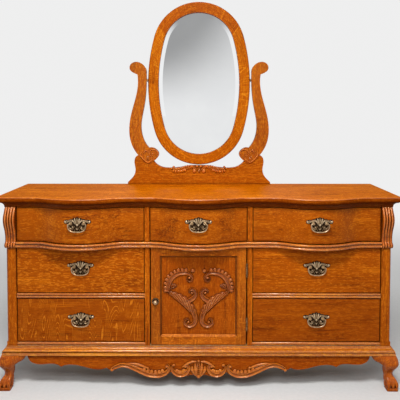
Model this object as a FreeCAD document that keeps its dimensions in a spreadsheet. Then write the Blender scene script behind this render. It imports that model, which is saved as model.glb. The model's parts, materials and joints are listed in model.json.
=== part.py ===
import FreeCAD, Part
import math
import os
import re
from types import SimpleNamespace

import Sketcher
from FreeCAD import Placement, Rotation, Vector

# A triple dresser with a tilting oval mirror, in millimetres. X runs to the right as seen from the
# front, Y to the back and Z up. The origin is on the floor, under the middle of the whole.

# ---------------------------------------------------------------- driving sizes

SIZES = {
    # top board
    "top_width": 1676,
    "top_depth": 450,
    "top_height": 813,
    "top_thickness": 22,
    "top_upper_round": 5,
    "top_lower_round": 12,
    "side_overhang": 34,
    "front_overhang": 34,
    "back_overhang": 8,
    # the three bows of the front
    "bow_depth": 58,
    "bow_length": 400,
    "bow_lead_radius": 140,
    # carcase
    "post_width": 43,
    "post_round": 13,
    "post_plinth": 17,
    "stile_width": 21,
    "centre_bay_width": 408,
    "frame_depth": 60,
    "partition_thickness": 16,
    "side_inset": 3,
    "side_rail_thickness": 20,
    "side_panel_thickness": 10,
    "side_rail_height": 90,
    "back_thickness": 6,
    "floor_thickness": 16,
    "sill_depth": 40,
    # levels of the front, from the top down and from the floor up
    "top_rail_height": 22,
    "top_opening_height": 146,
    "waist_rail_height": 23,
    "drawer_rail_height": 22,
    "bottom_opening_height": 185,
    "bottom_rail_height": 15,
    "base_moulding_height": 37,
    "foot_height": 146,
    # mouldings and beads
    "bed_projection": 20,
    "bed_foot": 3,
    "bed_fillet": 2,
    "bed_hollow": 5,
    "base_projection": 18,
    "base_band_height": 11,
    "base_band_step": 3,
    "base_hollow": 4,
    "base_swell": 3,
    "base_fillet_height": 3,
    "base_fillet_step": 2,
    "waist_body": 5,
    "waist_lower_bead": 14,
    "waist_upper_bead": 9,
    "bead_step": 3,
    # corbels on the corner posts
    "corbel_bulge": 12,
    "corbel_side_share": 0.25,
    "corbel_foot": 4,
    "corbel_lap": 2,
    # apron and front feet
    "apron_thickness": 20,
    "apron_proud": 7,
    "apron_carving_relief": 7,
    "foot_reach": 87,
    # drawers
    "front_thickness": 20,
    "front_inset": 2,
    "front_gap": 3,
    "box_side_gap": 10,
    "box_wall": 12,
    "box_bottom": 6,
    "box_low_gap": 6,
    "box_top_gap": 20,
    "box_back_gap": 10,
    "runner_height": 14,
    "runner_clearance": 0.3,
    # pulls, and how far each row's bails hang from above the middle of the front
    "top_pull_rise": 14,
    "middle_pull_rise": 14.5,
    "bottom_pull_rise": 8.5,
    "plate_width": 112,
    "plate_height": 52,
    "plate_thickness": 2.5,
    "pull_post_spread": 54,
    "pull_post_radius": 4.5,
    "pull_post_stand": 12,
    "bail_shoulder_gap": 0.3,
    "bail_bend": 5,
    "bail_drop": 36,
    "bail_wire_radius": 2.6,
    "bail_pin_radius": 1.8,
    "bail_pin_end": 1,
    "bail_clearance": 0.06,
    "bolt_radius": 2,
    "nut_radius": 4,
    "nut_thickness": 4,
    # cupboard door
    "door_side_gap": 5,
    "door_low_gap": 4,
    "door_top_gap": 2,
    "door_thickness": 20,
    "door_stile_width": 45,
    "door_rail_width": 42,
    "door_bevel": 8,
    "door_panel_thickness": 8,
    "door_panel_set_back": 10,
    "door_carving_relief": 8,
    "knob_radius": 9,
    "knob_length": 13.5,
    "knob_neck_radius": 4.5,
    "knob_neck_end": 10,
    "rosette_radius": 15,
    "rosette_edge": 1.5,
    "rosette_height": 4,
    "knob_inset": 19,
    "knob_drop": 21.5,
    "hinge_length": 58,
    "hinge_knuckle_radius": 3.5,
    "hinge_knuckle_gap": 0.3,
    "hinge_pin_radius": 1.6,
    "hinge_clearance": 0.06,
    "hinge_leaf": 1.2,
    "hinge_leaf_width": 18,
    "hinge_top_inset": 96,
    "hinge_foot_inset": 88,
    "catch_width": 7,
    "catch_depth": 14,
    "catch_height": 24,
    "catch_gap": 1,
    # mirror
    "mirror_width": 490,
    "mirror_length": 780,
    "mirror_end_inset": 23,
    "mirror_rail_width": 50,
    "mirror_thickness": 20,
    "mirror_round": 7,
    "mirror_lip": 8,
    "mirror_rebate": 12,
    "mirror_glass_thickness": 5,
    "mirror_glass_bevel": 20,
    "mirror_bevel_depth": 2,
    "mirror_back_thickness": 3,
    "mirror_crest_gap": 3.5,
    "mirror_base_width": 688,
    "mirror_base_height": 92,
    "mirror_base_thickness": 20,
    "mirror_carving_relief": 7,
    "upright_thickness": 24,
    "upright_gap": 8,
    "pivot_rise": 16.5,
    "pivot_radius": 3,
    "pivot_depth": 16,
    "pivot_clearance": 0.06,
    "pivot_end_gap": 1,
    "pivot_collar_radius": 7,
    "pivot_collar_clearance": 1,
}

# Levels and places worked out from the driving sizes.
DERIVED = {
    "case_half": "top_width / 2 - side_overhang",
    "top_back": "(top_depth + bow_depth) / 2",
    "top_front": "top_back - top_depth",
    "case_back": "top_back - back_overhang",
    "case_front": "top_front + front_overhang",
    "case_top": "top_height - top_thickness",
    "bay_outer": "case_half - post_width",
    "bay_inner": "centre_bay_width / 2 + stile_width",
    "side_bay_width": "bay_outer - bay_inner",
    "side_bay_centre": "(bay_outer + bay_inner) / 2",
    "frame_back": "case_front + frame_depth",
    "post_back": "case_front + post_width",
    "rear_post_front": "case_back - post_width",
    "back_inner": "case_back - back_thickness",
    "partition_outer": "(centre_bay_width + stile_width + partition_thickness) / 2",
    "partition_inner": "partition_outer - partition_thickness",
    "side_inner": "case_half - side_inset - side_rail_thickness",
    "floor_level": "foot_height + base_moulding_height",
    "bottom_opening_low": "floor_level + bottom_rail_height",
    "bottom_opening_top": "bottom_opening_low + bottom_opening_height",
    "middle_opening_low": "bottom_opening_top + drawer_rail_height",
    "top_opening_top": "case_top - top_rail_height",
    "top_opening_low": "top_opening_top - top_opening_height",
    "middle_opening_top": "top_opening_low - waist_rail_height",
    "middle_opening_height": "middle_opening_top - middle_opening_low",
    "drawer_face": "case_front + front_inset",
    "box_front": "drawer_face + front_thickness",
    "box_depth": "back_inner - box_back_gap - box_front",
    "apron_half": "case_half - foot_reach",
    "apron_face": "case_front - apron_proud",
    "door_half": "centre_bay_width / 2 - door_side_gap",
    "door_low": "floor_level + door_low_gap",
    "door_height": "middle_opening_top - door_top_gap - door_low",
    "sight_half": "door_half - door_stile_width",
    "sight_low": "door_low + door_rail_width",
    "sight_height": "door_height - 2 * door_rail_width",
    "hinge_across": "centre_bay_width / 2 - door_side_gap / 2",
    "hinge_forward": "case_front - hinge_knuckle_radius",
    "hinge_upper_level": "door_low + door_height - hinge_top_inset",
    "hinge_lower_level": "door_low + hinge_foot_inset",
    "knob_level": "door_low + door_height / 2 - knob_drop",
    "mirror_end_radius": "mirror_width / 2 - mirror_end_inset",
    "mirror_low": "top_height + mirror_base_height + mirror_crest_gap",
    "mirror_centre": "mirror_low + mirror_length / 2",
    "mirror_plane": "top_back - upright_thickness / 2",
    "mirror_front": "mirror_plane - mirror_thickness / 2",
    "pivot_level": "mirror_centre + pivot_rise",
    "mirror_base_face": "top_back - mirror_base_thickness",
}

# The sizes, across and up, on which the outlines further down are drawn.
DRAWN = {
    "post": (43, 43),
    "apron": (717, 146),
    "sight": (304, 327),
    "mirror_base": (344, 92),
    "pivot": (253, 502),
}

# ---------------------------------------------------------------- document and helpers

doc = FreeCAD.newDocument("dresser_with_mirror")
sizes_sheet = doc.addObject("Spreadsheet::Sheet", "Sizes")
derived_sheet = doc.addObject("Spreadsheet::Sheet", "Derived")
scratch_sheet = doc.addObject("Spreadsheet::Sheet", "Scratch")
NODES = []
ALONG = {"X": Vector(1, 0, 0), "Y": Vector(0, 1, 0), "Z": Vector(0, 0, 1)}
TINY = 0.001
CLEAR = 1  # how far a cutting tool runs past what it cuts
LONG_RUN = "4 * top_depth"  # a strip's length before its ends are mitred off
BEAD_BULGE = 0.4  # share of a bead's height by which it stands off its chord
BEAD_ROUND = 0.42  # share of a bead's height to which its edges are rounded


def bound(formula, own_sheet=None):
    """A formula with the name of each size turned into a reference to its cell."""

    def cell(match):
        word = match.group()
        if word in SIZES:
            return "Sizes." + word
        if word in DERIVED and own_sheet != "Derived":
            return "Derived." + word
        return word

    return re.sub(r"[a-z][a-z_0-9]*", cell, str(formula))


def fill_sheets():
    """Writes the driving sizes as plain numbers and the worked-out ones as formulas."""
    for row, (name, value) in enumerate(SIZES.items(), start=1):
        sizes_sheet.set("A%d" % row, str(value))
        sizes_sheet.setAlias("A%d" % row, name)
    for row, (name, formula) in enumerate(DERIVED.items(), start=1):
        derived_sheet.set("A%d" % row, "=" + bound(formula, "Derived"))
        derived_sheet.setAlias("A%d" % row, name)
    doc.recompute()
    values = {name: float(sizes_sheet.get(name)) for name in SIZES}
    values.update({name: float(derived_sheet.get(name)) for name in DERIVED})
    return SimpleNamespace(**values)


s = fill_sheets()


def number(formula):
    """The value of a formula, worked out by a cell of the scratch sheet."""
    scratch_sheet.set("A1", "=" + bound(formula))
    scratch_sheet.recompute()
    return float(scratch_sheet.get("A1"))


def node(name, piece):
    """Marks a piece as a finished sub-part, with its name."""
    piece.Label = name
    NODES.append(piece)
    return piece


def bind(piece, **formulas):
    for property_name, formula in formulas.items():
        piece.setExpression(property_name, bound(formula))
    return piece


def place(piece, x=0, y=0, z=0):
    for axis, formula in (("x", x), ("y", y), ("z", z)):
        piece.setExpression("Placement.Base." + axis, bound(formula))
    return piece


def board(length, width, height, x, y, z):
    """A board by its size along X, Y and Z and by its lowest corner."""
    piece = doc.addObject("Part::Box", "Board")
    bind(piece, Length=length, Width=width, Height=height)
    return place(piece, x, y, z)


def rod(axis, radius, length, x, y, z):
    """A round rod that starts at x, y, z and runs along the axis."""
    piece = doc.addObject("Part::Cylinder", "Rod")
    piece.Placement = Placement(Vector(), Rotation(ALONG["Z"], ALONG[axis]))
    bind(piece, Radius=radius, Height=length)
    return place(piece, x, y, z)


def group(pieces):
    piece = doc.addObject("Part::Compound", "Group")
    piece.Links = pieces
    return piece


def fused(pieces):
    piece = doc.addObject("Part::MultiFuse", "Fused")
    piece.Shapes = pieces
    return piece


def cut(base, tool):
    piece = doc.addObject("Part::Cut", "Cut")
    piece.Base = base
    piece.Tool = tool
    return piece


def common(base, tool):
    piece = doc.addObject("Part::Common", "Common")
    piece.Base = base
    piece.Tool = tool
    return piece


def mirrored(piece):
    """The piece's other hand, on the far side of the middle."""
    other = doc.addObject("Part::Mirroring", "Mirrored")
    other.Source = piece
    other.Normal = ALONG["X"]
    return other


def pair(piece):
    return group([mirrored(piece), piece])


def shaped(shape):
    """A piece whose outline no sketch or primitive gives."""
    piece = doc.addObject("Part::Feature", "Shape")
    piece.Shape = shape
    return piece


def extruded(face, axis, length):
    """A flat face carried along an axis by a bound length."""
    piece = doc.addObject("Part::Extrusion", "Extrusion")
    piece.Base = shaped(face)
    piece.DirMode = "Custom"
    piece.Dir = ALONG[axis]
    piece.Solid = True
    return bind(piece, LengthFwd=length)


# ---------------------------------------------------------------- curves


def line(start, end):
    return Part.LineSegment(start, end).toShape()


def arc(start, middle, end):
    return Part.Arc(start, middle, end).toShape()


def filled(edges):
    """The flat face inside a closed run of edges."""
    return Part.Face(Part.Wire(Part.__sortEdges__(edges)))


def run_through(stretches):
    """Edges through stretches of points: a line through two, a smooth curve through more."""
    edges = []
    for points in stretches:
        if len(points) == 2:
            edges.append(line(*points))
        else:
            curve = Part.BSplineCurve()
            curve.interpolate(points)
            edges.append(curve.toShape())
    return edges


def upright_points(stretches, y, stretch_x=1.0, shift_x=0.0, stretch_z=1.0, rise=0.0):
    """Points of an outline in the XZ plane, from pairs of numbers, fitted to their place."""
    return [
        [Vector(x * stretch_x + shift_x, y, z * stretch_z + rise) for x, z in points]
        for points in stretches
    ]


def both_halves(stretches):
    """A right half's stretches with their mirror images, closed across the middle."""
    left = [[Vector(-p.x, p.y, p.z) for p in points] for points in stretches]
    return stretches + left


def serpentine(forward, half_width):
    """The front's three-bowed line, set forward of the case front, as edges from left to right."""
    half_length = s.bow_length / 2
    radii = (half_length**2 + s.bow_depth**2) / (2 * s.bow_depth)
    lead_radius = s.bow_lead_radius - forward
    flat = s.case_front - forward
    edges = []
    start = Vector(-half_width, flat, 0)
    for bay_centre in (-s.side_bay_centre, 0, s.side_bay_centre):
        bow_centre = Vector(bay_centre, s.case_front - s.bow_depth + radii - s.bow_lead_radius, 0)
        apex = Vector(bay_centre, s.case_front - s.bow_depth - forward, 0)
        ends = []
        for side in (-1, 1):
            lead_centre = Vector(bay_centre + side * half_length, s.case_front - s.bow_lead_radius, 0)
            toward_bow = (bow_centre - lead_centre).normalize()
            halfway = (toward_bow + ALONG["Y"]).normalize()
            foot = lead_centre + ALONG["Y"] * lead_radius
            meet = lead_centre + toward_bow * lead_radius
            ends.append((foot, arc(foot, lead_centre + halfway * lead_radius, meet), meet))
        left, right = ends
        edges += [line(start, left[0]), left[1], arc(left[2], apex, right[2]), right[1]]
        start = right[0]
    edges.append(line(start, Vector(half_width, flat, 0)))
    return edges


def serpentine_slab(forward, back, half_width, level):
    """The face between the bowed line and a straight back line."""
    front = serpentine(forward, half_width)
    flat = s.case_front - forward
    corners = [
        Vector(half_width, flat, 0),
        Vector(half_width, back, 0),
        Vector(-half_width, back, 0),
        Vector(-half_width, flat, 0),
    ]
    face = filled(front + [line(a, b) for a, b in zip(corners, corners[1:])])
    face.translate(Vector(0, 0, level))
    return face


def serpentine_band(forward, back_forward, half_width, level):
    """The face between two bowed lines."""
    edges = serpentine(forward, half_width) + serpentine(back_forward, half_width)
    for side in (-1, 1):
        front_end = Vector(side * half_width, s.case_front - forward, 0)
        back_end = Vector(side * half_width, s.case_front - back_forward, 0)
        edges.append(line(front_end, back_end))
    face = filled(edges)
    face.translate(Vector(0, 0, level))
    return face


def bow_sag(across, forward):
    """How far the bowed line has fallen back at a distance across from a bow's apex."""
    half_length = s.bow_length / 2
    radii = (half_length**2 + s.bow_depth**2) / (2 * s.bow_depth)
    radius = radii - s.bow_lead_radius + forward
    return radius - math.sqrt(radius**2 - across**2)


def oval(half_width, half_height, end_radius, y, level):
    """A four-arc oval in an upright plane."""
    rise = half_height - end_radius
    side_radius = (rise**2 + half_width**2 - end_radius**2) / (2 * (half_width - end_radius))
    end_centre = Vector(0, y, rise)
    side_centre = Vector(half_width - side_radius, y, 0)
    meet = side_centre + (end_centre - side_centre).normalize() * side_radius
    edges = []
    for side in (-1, 1):
        upper = Vector(side * meet.x, y, meet.z)
        lower = Vector(side * meet.x, y, -meet.z)
        edges.append(arc(lower, Vector(side * half_width, y, 0), upper))
        top = Vector(0, y, side * half_height)
        edges.append(arc(Vector(-meet.x, y, side * meet.z), top, Vector(meet.x, y, side * meet.z)))
    face = filled(edges)
    face.translate(Vector(0, 0, level))
    return face


def mirror_oval(inside, y):
    """The mirror's oval, a distance inside its outer edge."""
    return oval(
        s.mirror_width / 2 - inside,
        s.mirror_length / 2 - inside,
        s.mirror_end_radius - inside,
        y,
        s.mirror_centre,
    )


def leaf_outline(spine, y):
    """A closed, smooth outline round a spine of (x, z, half width) stations."""
    centres = [Vector(x, y, z) for x, z, half in spine]
    left = []
    right = []
    for index, (x, z, half) in enumerate(spine):
        before = centres[max(index - 1, 0)]
        after = centres[min(index + 1, len(centres) - 1)]
        along = (after - before).normalize()
        across = Vector(-along.z, 0, along.x) * half
        left.append(centres[index] + across)
        right.append(centres[index] - across)
    curve = Part.BSplineCurve()
    curve.interpolate(left + right[::-1], PeriodicFlag=True)
    return filled([curve.toShape()])


def stretches_of(name, across, up):
    """How much wider and how much taller than it is drawn an outline is built."""
    drawn_across, drawn_up = DRAWN[name]
    return across / drawn_across, up / drawn_up


def fitted_leaf(spine, y, stretch_x, stretch_z, rise=0.0):
    """A leaf round a spine that is stretched to its place, with its width kept in step."""
    swell = min(stretch_x, stretch_z)
    return leaf_outline([(x * stretch_x, z * stretch_z + rise, half * swell) for x, z, half in spine], y)


# ---------------------------------------------------------------- sketched bodies


def origin_plane(body, role):
    return [feature for feature in body.Origin.OriginFeatures if feature.Role == role][0]


def sketch(body, role, points, bulges=None):
    """A closed sketch on an origin plane. Each point is a pair of formulas that bind its place.
    A side named in bulges is an arc that stands off its chord by that much."""
    bulges = bulges or {}
    drawing = body.newObject("Sketcher::SketchObject", "Profile")
    drawing.AttachmentSupport = [(origin_plane(body, role), "")]
    drawing.MapMode = "FlatFace"
    corners = [Vector(number(x), number(y), 0) for x, y in points]
    count = len(points)
    for index in range(count):
        start = corners[index]
        end = corners[(index + 1) % count]
        if index in bulges:
            chord = end - start
            normal = Vector(-chord.y, chord.x, 0).normalize()
            middle = (start + end) * 0.5 + normal * bulges[index]
            first, last = (end, start) if bulges[index] > 0 else (start, end)
            drawing.addGeometry(Part.Arc(first, middle, last), False)
        else:
            drawing.addGeometry(Part.LineSegment(start, end), False)
    for index in range(count):
        corner = corners[index]
        previous = (index - 1) % count
        here = end_at(drawing, index, corner)
        drawing.addConstraint(
            Sketcher.Constraint("Coincident", previous, end_at(drawing, previous, corner), index, here)
        )
        for kind, value, formula in (
            ("DistanceX", corner.x, points[index][0]),
            ("DistanceY", corner.y, points[index][1]),
        ):
            place_of = drawing.addConstraint(Sketcher.Constraint(kind, index, here, value))
            drawing.setExpression("Constraints[%d]" % place_of, bound(formula))
    for index in bulges:
        drawing.addConstraint(Sketcher.Constraint("Radius", index, drawing.Geometry[index].Radius))
    return drawing


def end_at(drawing, index, corner):
    """Which end of a sketch's side lies at a corner: 1 its start, 2 its end."""
    return 1 if (drawing.Geometry[index].StartPoint - corner).Length < TINY else 2


def strip(role, points, length, bulges=None):
    """A moulded strip: a sketched section, run the same way to both sides of its plane."""
    body = doc.addObject("PartDesign::Body", "Strip")
    pad = body.newObject("PartDesign::Pad", "Run")
    pad.Profile = sketch(body, role, points, bulges)
    pad.Midplane = True
    bind(pad, Length=length)
    return body


def turned(points, bulges=None):
    """A turned body: a sketched half section in the XY plane, turned about Y."""
    body = doc.addObject("PartDesign::Body", "Turned")
    drawing = sketch(body, "XY_Plane", points, bulges)
    turning = body.newObject("PartDesign::Revolution", "Turning")
    turning.Profile = drawing
    turning.ReferenceAxis = (drawing, ["V_Axis"])
    turning.Angle = 360
    return body


def body_block(body, kind, length, width, height, x, y, z):
    """A rectangular block added to a body, or taken out of it."""
    block = body.newObject("PartDesign::%sBox" % kind, "Block")
    bind(block, Length=length, Width=width, Height=height)
    return place(block, x, y, z)


def edges_where(shape, test):
    return ["Edge%d" % (i + 1) for i, edge in enumerate(shape.Edges) if test(edge.BoundBox)]


# ---------------------------------------------------------------- top


def top_board():
    face = serpentine_slab(s.front_overhang, s.top_back, s.top_width / 2, s.case_top)
    slab = face.extrude(Vector(0, 0, s.top_thickness))
    for radius, level in ((s.top_upper_round, s.top_height), (s.top_lower_round, s.case_top)):
        rim = []
        for edge in slab.Edges:
            box = edge.BoundBox
            at_level = box.ZLength < TINY and abs(box.ZMin - level) < TINY
            if at_level and box.YMin < s.top_back - TINY:
                rim.append(edge)
        slab = slab.makeFillet(radius, rim)
    node("top_board", shaped(slab))


def mitre_regions():
    """The ground in front of the case and beside it, parted by lines at 45 degrees."""
    reach = s.top_depth
    corner = Vector(s.case_half, s.case_front, 0)
    outward = corner + Vector(reach, -reach, 0)
    back = Vector(s.case_half, s.case_back, 0)
    front_corners = [Vector(-corner.x, corner.y, 0), Vector(-outward.x, outward.y, 0), outward, corner]
    side_corners = [corner, outward, Vector(outward.x, back.y, 0), back]
    regions = []
    for corners in (front_corners, side_corners):
        closed = corners + corners[:1]
        face = filled([line(a, b) for a, b in zip(closed, closed[1:])])
        regions.append(extruded(face, "Z", "top_height"))
    return regions


def bed_moulding(regions):
    """The cove under the top: one bowed length and two straight ones, mitred."""
    reach = s.case_half + 2 * s.bed_projection
    out = s.case_front - s.bed_projection
    foot = s.case_front - s.bed_foot
    low = s.top_opening_top
    high = s.case_top
    section = [
        Vector(-reach, s.case_front, low),
        Vector(-reach, foot, low),
        Vector(-reach, foot, low + s.bed_fillet),
        Vector(-reach, out, high - s.bed_fillet),
        Vector(-reach, out, high),
        Vector(-reach, s.case_front, high),
    ]
    chord = section[3] - section[2]
    inward = Vector(0, chord.z, -chord.y).normalize()
    hollow = (section[2] + section[3]) * 0.5 + inward * s.bed_hollow
    edges = [line(a, b) for a, b in zip(section, section[1:] + section[:1])]
    edges[2] = arc(section[2], hollow, section[3])
    path = Part.Wire(serpentine(0, reach))
    path.translate(Vector(0, 0, low))
    sweep = Part.BRepOffsetAPI.MakePipeShell(path)
    sweep.add(Part.Wire(Part.__sortEdges__(edges)))
    sweep.build()
    sweep.makeSolid()
    front = common(shaped(sweep.shape()), regions[0])

    side_strip = strip(
        "XZ_Plane",
        [
            ("case_half", "top_opening_top"),
            ("case_half + bed_foot", "top_opening_top"),
            ("case_half + bed_foot", "top_opening_top + bed_fillet"),
            ("case_half + bed_projection", "case_top - bed_fillet"),
            ("case_half + bed_projection", "case_top"),
            ("case_half", "case_top"),
        ],
        LONG_RUN,
        {2: s.bed_hollow},
    )
    side = common(side_strip, regions[1])
    node("top_bed_moulding", group([front, side, mirrored(side)]))


# ---------------------------------------------------------------- carcase


def side_frames():
    """A rail above and below a recessed panel, on each side of the case."""
    run = "rear_post_front - post_back"
    panel_x = "side_inner + (side_rail_thickness - side_panel_thickness) / 2"
    lower = board("side_rail_thickness", run, "side_rail_height", "side_inner", "post_back", "foot_height")
    upper = board(
        "side_rail_thickness",
        run,
        "side_rail_height",
        "side_inner",
        "post_back",
        "case_top - side_rail_height",
    )
    panel = board(
        "side_panel_thickness",
        run,
        "case_top - foot_height - 2 * side_rail_height",
        panel_x,
        "post_back",
        "foot_height + side_rail_height",
    )
    node("side_frames", pair(group([lower, upper, panel])))


def rear_posts():
    post = board("post_width", "post_width", "case_top", "bay_outer", "rear_post_front", 0)
    return node("rear_posts", pair(post))


def front_posts():
    """Square at the head and at the plinth, rounded at the front corners between."""
    body = doc.addObject("PartDesign::Body", "FrontPost")
    block = ("post_width", "post_width")
    body_block(body, "Additive", *block, "case_top - foot_height", "bay_outer", "case_front", "foot_height")
    doc.recompute()
    shaft = body.Tip

    def front_corner(box):
        return box.ZLength > s.post_width * 2 and box.YMax < s.case_front + TINY

    fillet = body.newObject("PartDesign::Fillet", "RoundedShaft")
    fillet.Base = (shaft, edges_where(shaft.Shape, front_corner))
    bind(fillet, Radius="post_round")
    doc.recompute()
    plinth_height = "floor_level - foot_height + post_plinth"
    body_block(body, "Additive", *block, plinth_height, "bay_outer", "case_front", "foot_height")
    head_height = "case_top - middle_opening_top"
    body_block(body, "Additive", *block, head_height, "bay_outer", "case_front", "middle_opening_top")
    return node("front_posts", pair(body))


def corbels(posts):
    """A swelling block round the outer corner of each post's head, fuller in front than beside."""
    low = s.middle_opening_top - s.corbel_lap
    high = s.top_opening_top
    tall = high - low
    swell = [(s.corbel_foot, 0), (0.7 * s.corbel_bulge, 0.22 * tall), (s.corbel_bulge, 0.45 * tall)]
    swell += [(0.85 * s.corbel_bulge, 0.66 * tall), (s.corbel_foot, tall)]
    faces = []
    for start, toward, share in (
        (Vector(s.bay_outer, s.case_front, low), Vector(0, -1, 0), 1),
        (Vector(s.case_half, s.post_back, low), Vector(1, 0, 0), s.corbel_side_share),
    ):
        curve = [start + toward * (out * share) + Vector(0, 0, up) for out, up in swell]
        inward = start - toward * s.post_width
        back = [inward + Vector(0, 0, tall), inward]
        edges = run_through([curve, [curve[-1], back[0]], back, [back[1], curve[0]]])
        faces.append(filled(edges))
    from_side = extruded(faces[0], "X", "post_width + corbel_bulge")
    from_front = extruded(faces[1], "Y", "-(post_width + corbel_bulge)")
    corbel = cut(common(from_side, from_front), posts)
    node("corbels", pair(corbel))


def bottom_panel(posts, rear):
    """The case's floor, notched round the posts, and the sill under its front edge."""
    floor = board(
        "2 * side_inner",
        "back_inner - case_front",
        "floor_thickness",
        "-side_inner",
        "case_front",
        "floor_level - floor_thickness",
    )
    notched = cut(floor, group([posts, rear]))
    sill = board(
        "2 * bay_outer",
        "sill_depth",
        "floor_level - floor_thickness - foot_height",
        "-bay_outer",
        "case_front",
        "foot_height",
    )
    node("bottom_panel", group([notched, sill]))


def back_panel():
    low = "floor_level - floor_thickness"
    panel = board("2 * bay_outer", "back_thickness", "case_top - (%s)" % low, "-bay_outer", "back_inner", low)
    node("back_panel", panel)


def partitions():
    panel = board(
        "partition_thickness",
        "back_inner - frame_back",
        "case_top - floor_level",
        "partition_inner",
        "frame_back",
        "floor_level",
    )
    node("partitions", pair(panel))


def bay_stiles():
    """The upright between two bays, in one length below the waist rail and one above."""
    lengths = []
    for low, high in (("floor_level", "middle_opening_top"), ("top_opening_low", "top_opening_top")):
        height = "%s - %s" % (high, low)
        stile = board("stile_width", "frame_depth", height, "centre_bay_width / 2", "case_front", low)
        lengths.append(stile)
    node("bay_stiles", pair(group(lengths)))


def top_rail():
    face = serpentine_slab(0, s.frame_back, s.bay_outer, s.top_opening_top)
    node("top_rail", extruded(face, "Z", "top_rail_height"))


def waist_rail():
    """A bowed rail with two rounded beads along its front."""
    low = s.middle_opening_top
    high = s.top_opening_low
    bead_height = (s.waist_rail_height - s.bead_step) / 2
    face = serpentine_slab(s.waist_body, s.frame_back, s.bay_outer, low)
    rail = face.extrude(Vector(0, 0, s.waist_rail_height))
    for forward, level in ((s.waist_lower_bead, low), (s.waist_upper_bead, high - bead_height)):
        band = serpentine_band(forward, 0, s.bay_outer, level)
        bead = band.extrude(Vector(0, 0, bead_height))
        front = []
        for edge in bead.Edges:
            box = edge.BoundBox
            along = box.ZLength < TINY and box.XLength > TINY
            body_here = face.translated(Vector(0, 0, box.ZMin - low))
            if along and edge.distToShape(body_here)[0] > TINY:
                front.append(edge)
        bead = bead.makeFillet(bead_height * BEAD_ROUND, front)
        rail = rail.fuse(bead)
    node("waist_rail", shaped(rail.removeSplitter()))


def beaded_rail(low, height, bead_heights):
    """A side bay's rail, with rounded beads along its front edge."""
    depth = "drawer_face + bead_step"
    points = [("frame_back", low), (depth, low)]
    bulges = {}
    level = low
    for bead_height in bead_heights:
        bulges[len(points) - 1] = BEAD_BULGE * number(bead_height)
        level = "%s + %s" % (level, bead_height)
        points.append((depth, level))
    points.append(("frame_back", "%s + %s" % (low, height)))
    rail = strip("YZ_Plane", points, "side_bay_width", bulges)
    return place(rail, "side_bay_centre")


def drawer_rails():
    """Between the lower drawers a rail with two beads, and under them a narrow one."""
    half_rail = "drawer_rail_height / 2"
    between = beaded_rail("bottom_opening_top", "drawer_rail_height", [half_rail, half_rail])
    below = beaded_rail("floor_level", "bottom_rail_height", ["bottom_rail_height"])
    node("drawer_rails", pair(group([between, below])))


def base_moulding(regions):
    """A square band under an ogee, round the front and the sides."""
    band_top = "foot_height + base_band_height"
    face = "base_projection - base_band_step"
    ogee = [
        ("0", "foot_height"),
        ("base_projection", "foot_height"),
        ("base_projection", band_top),
        (face, band_top),
        ("base_projection / 2", band_top + " + (base_moulding_height - base_band_height) / 2"),
        ("base_fillet_step", "floor_level - base_fillet_height"),
        ("base_fillet_step", "floor_level"),
        ("0", "floor_level"),
    ]
    hollow = s.base_hollow
    swell = s.base_swell
    forward = [("case_front - (%s)" % out, up) for out, up in ogee]
    outward = [("case_half + " + out, up) for out, up in ogee]
    front = common(strip("YZ_Plane", forward, "2 * top_width", {3: hollow, 4: -swell}), regions[0])
    side = common(strip("XZ_Plane", outward, LONG_RUN, {3: -hollow, 4: swell}), regions[1])
    node("base_moulding", group([front, side, mirrored(side)]))


def drawer_runners():
    """A strip under each side of each drawer box."""
    side_left = "side_bay_centre - side_bay_width / 2"
    centre_left = "-centre_bay_width / 2"
    # width and left end of a bay, the walls on its left and right, and the rows of drawers in it
    bays = [
        ("side_bay_width", side_left, "partition_outer", "side_inner", ["bottom", "middle", "top"]),
        ("centre_bay_width", centre_left, "-partition_inner", "partition_inner", ["top"]),
    ]
    run = "rear_post_front - frame_back"
    strips = []
    for width, left, wall_left, wall_right, rows in bays:
        left_end = "%s + box_side_gap + box_wall" % left
        right_start = "%s + %s - box_side_gap - box_wall" % (left, width)
        for row in rows:
            top = "%s_opening_low + box_low_gap - runner_clearance" % row
            low = "floor_level" if row == "bottom" else top + " - runner_height"
            height = "%s - (%s)" % (top, low)
            left_width = "%s - (%s)" % (left_end, wall_left)
            right_width = "%s - (%s)" % (wall_right, right_start)
            strips.append(board(left_width, run, height, wall_left, "frame_back", low))
            strips.append(board(right_width, run, height, right_start, "frame_back", low))
    side_strips = group(strips[:6])
    node("drawer_runners", group([side_strips, mirrored(side_strips)] + strips[6:]))


# ---------------------------------------------------------------- apron and feet

# The apron's lower edge: distance from the middle and height above the floor. Each stretch is
# one scallop, and they meet in points.
APRON_SHELL = {"half_width": 29, "half_height": 38, "end_radius": 20, "level": 100}
APRON_SCALLOPS = [
    [(717, 142), (700, 114), (669, 105), (619, 108), (577, 95)],
    [(577, 95), (530, 104), (485, 96), (430, 84), (385, 91)],
    [(385, 91), (366, 81), (345, 84), (335, 93)],
    [(335, 93), (301, 95), (251, 77), (201, 56), (151, 54), (117, 73)],
    [(117, 73), (97, 61), (58, 54), (33, 62)],
    [(33, 62), (17, 58), (0, 49)],
]


def apron():
    """The scalloped board between the feet."""
    stretch, drop = stretches_of("apron", s.apron_half, s.foot_height)
    lower = upright_points(APRON_SCALLOPS, s.apron_face, stretch_x=stretch, stretch_z=drop)
    end = Vector(s.apron_half, s.apron_face, s.foot_height)
    right = [[end, lower[0][0]]] + lower
    top = [[Vector(-end.x, end.y, end.z), end]]
    face = filled(run_through(both_halves(right) + top))
    node("apron", extruded(face, "Y", "apron_thickness"))


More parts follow.
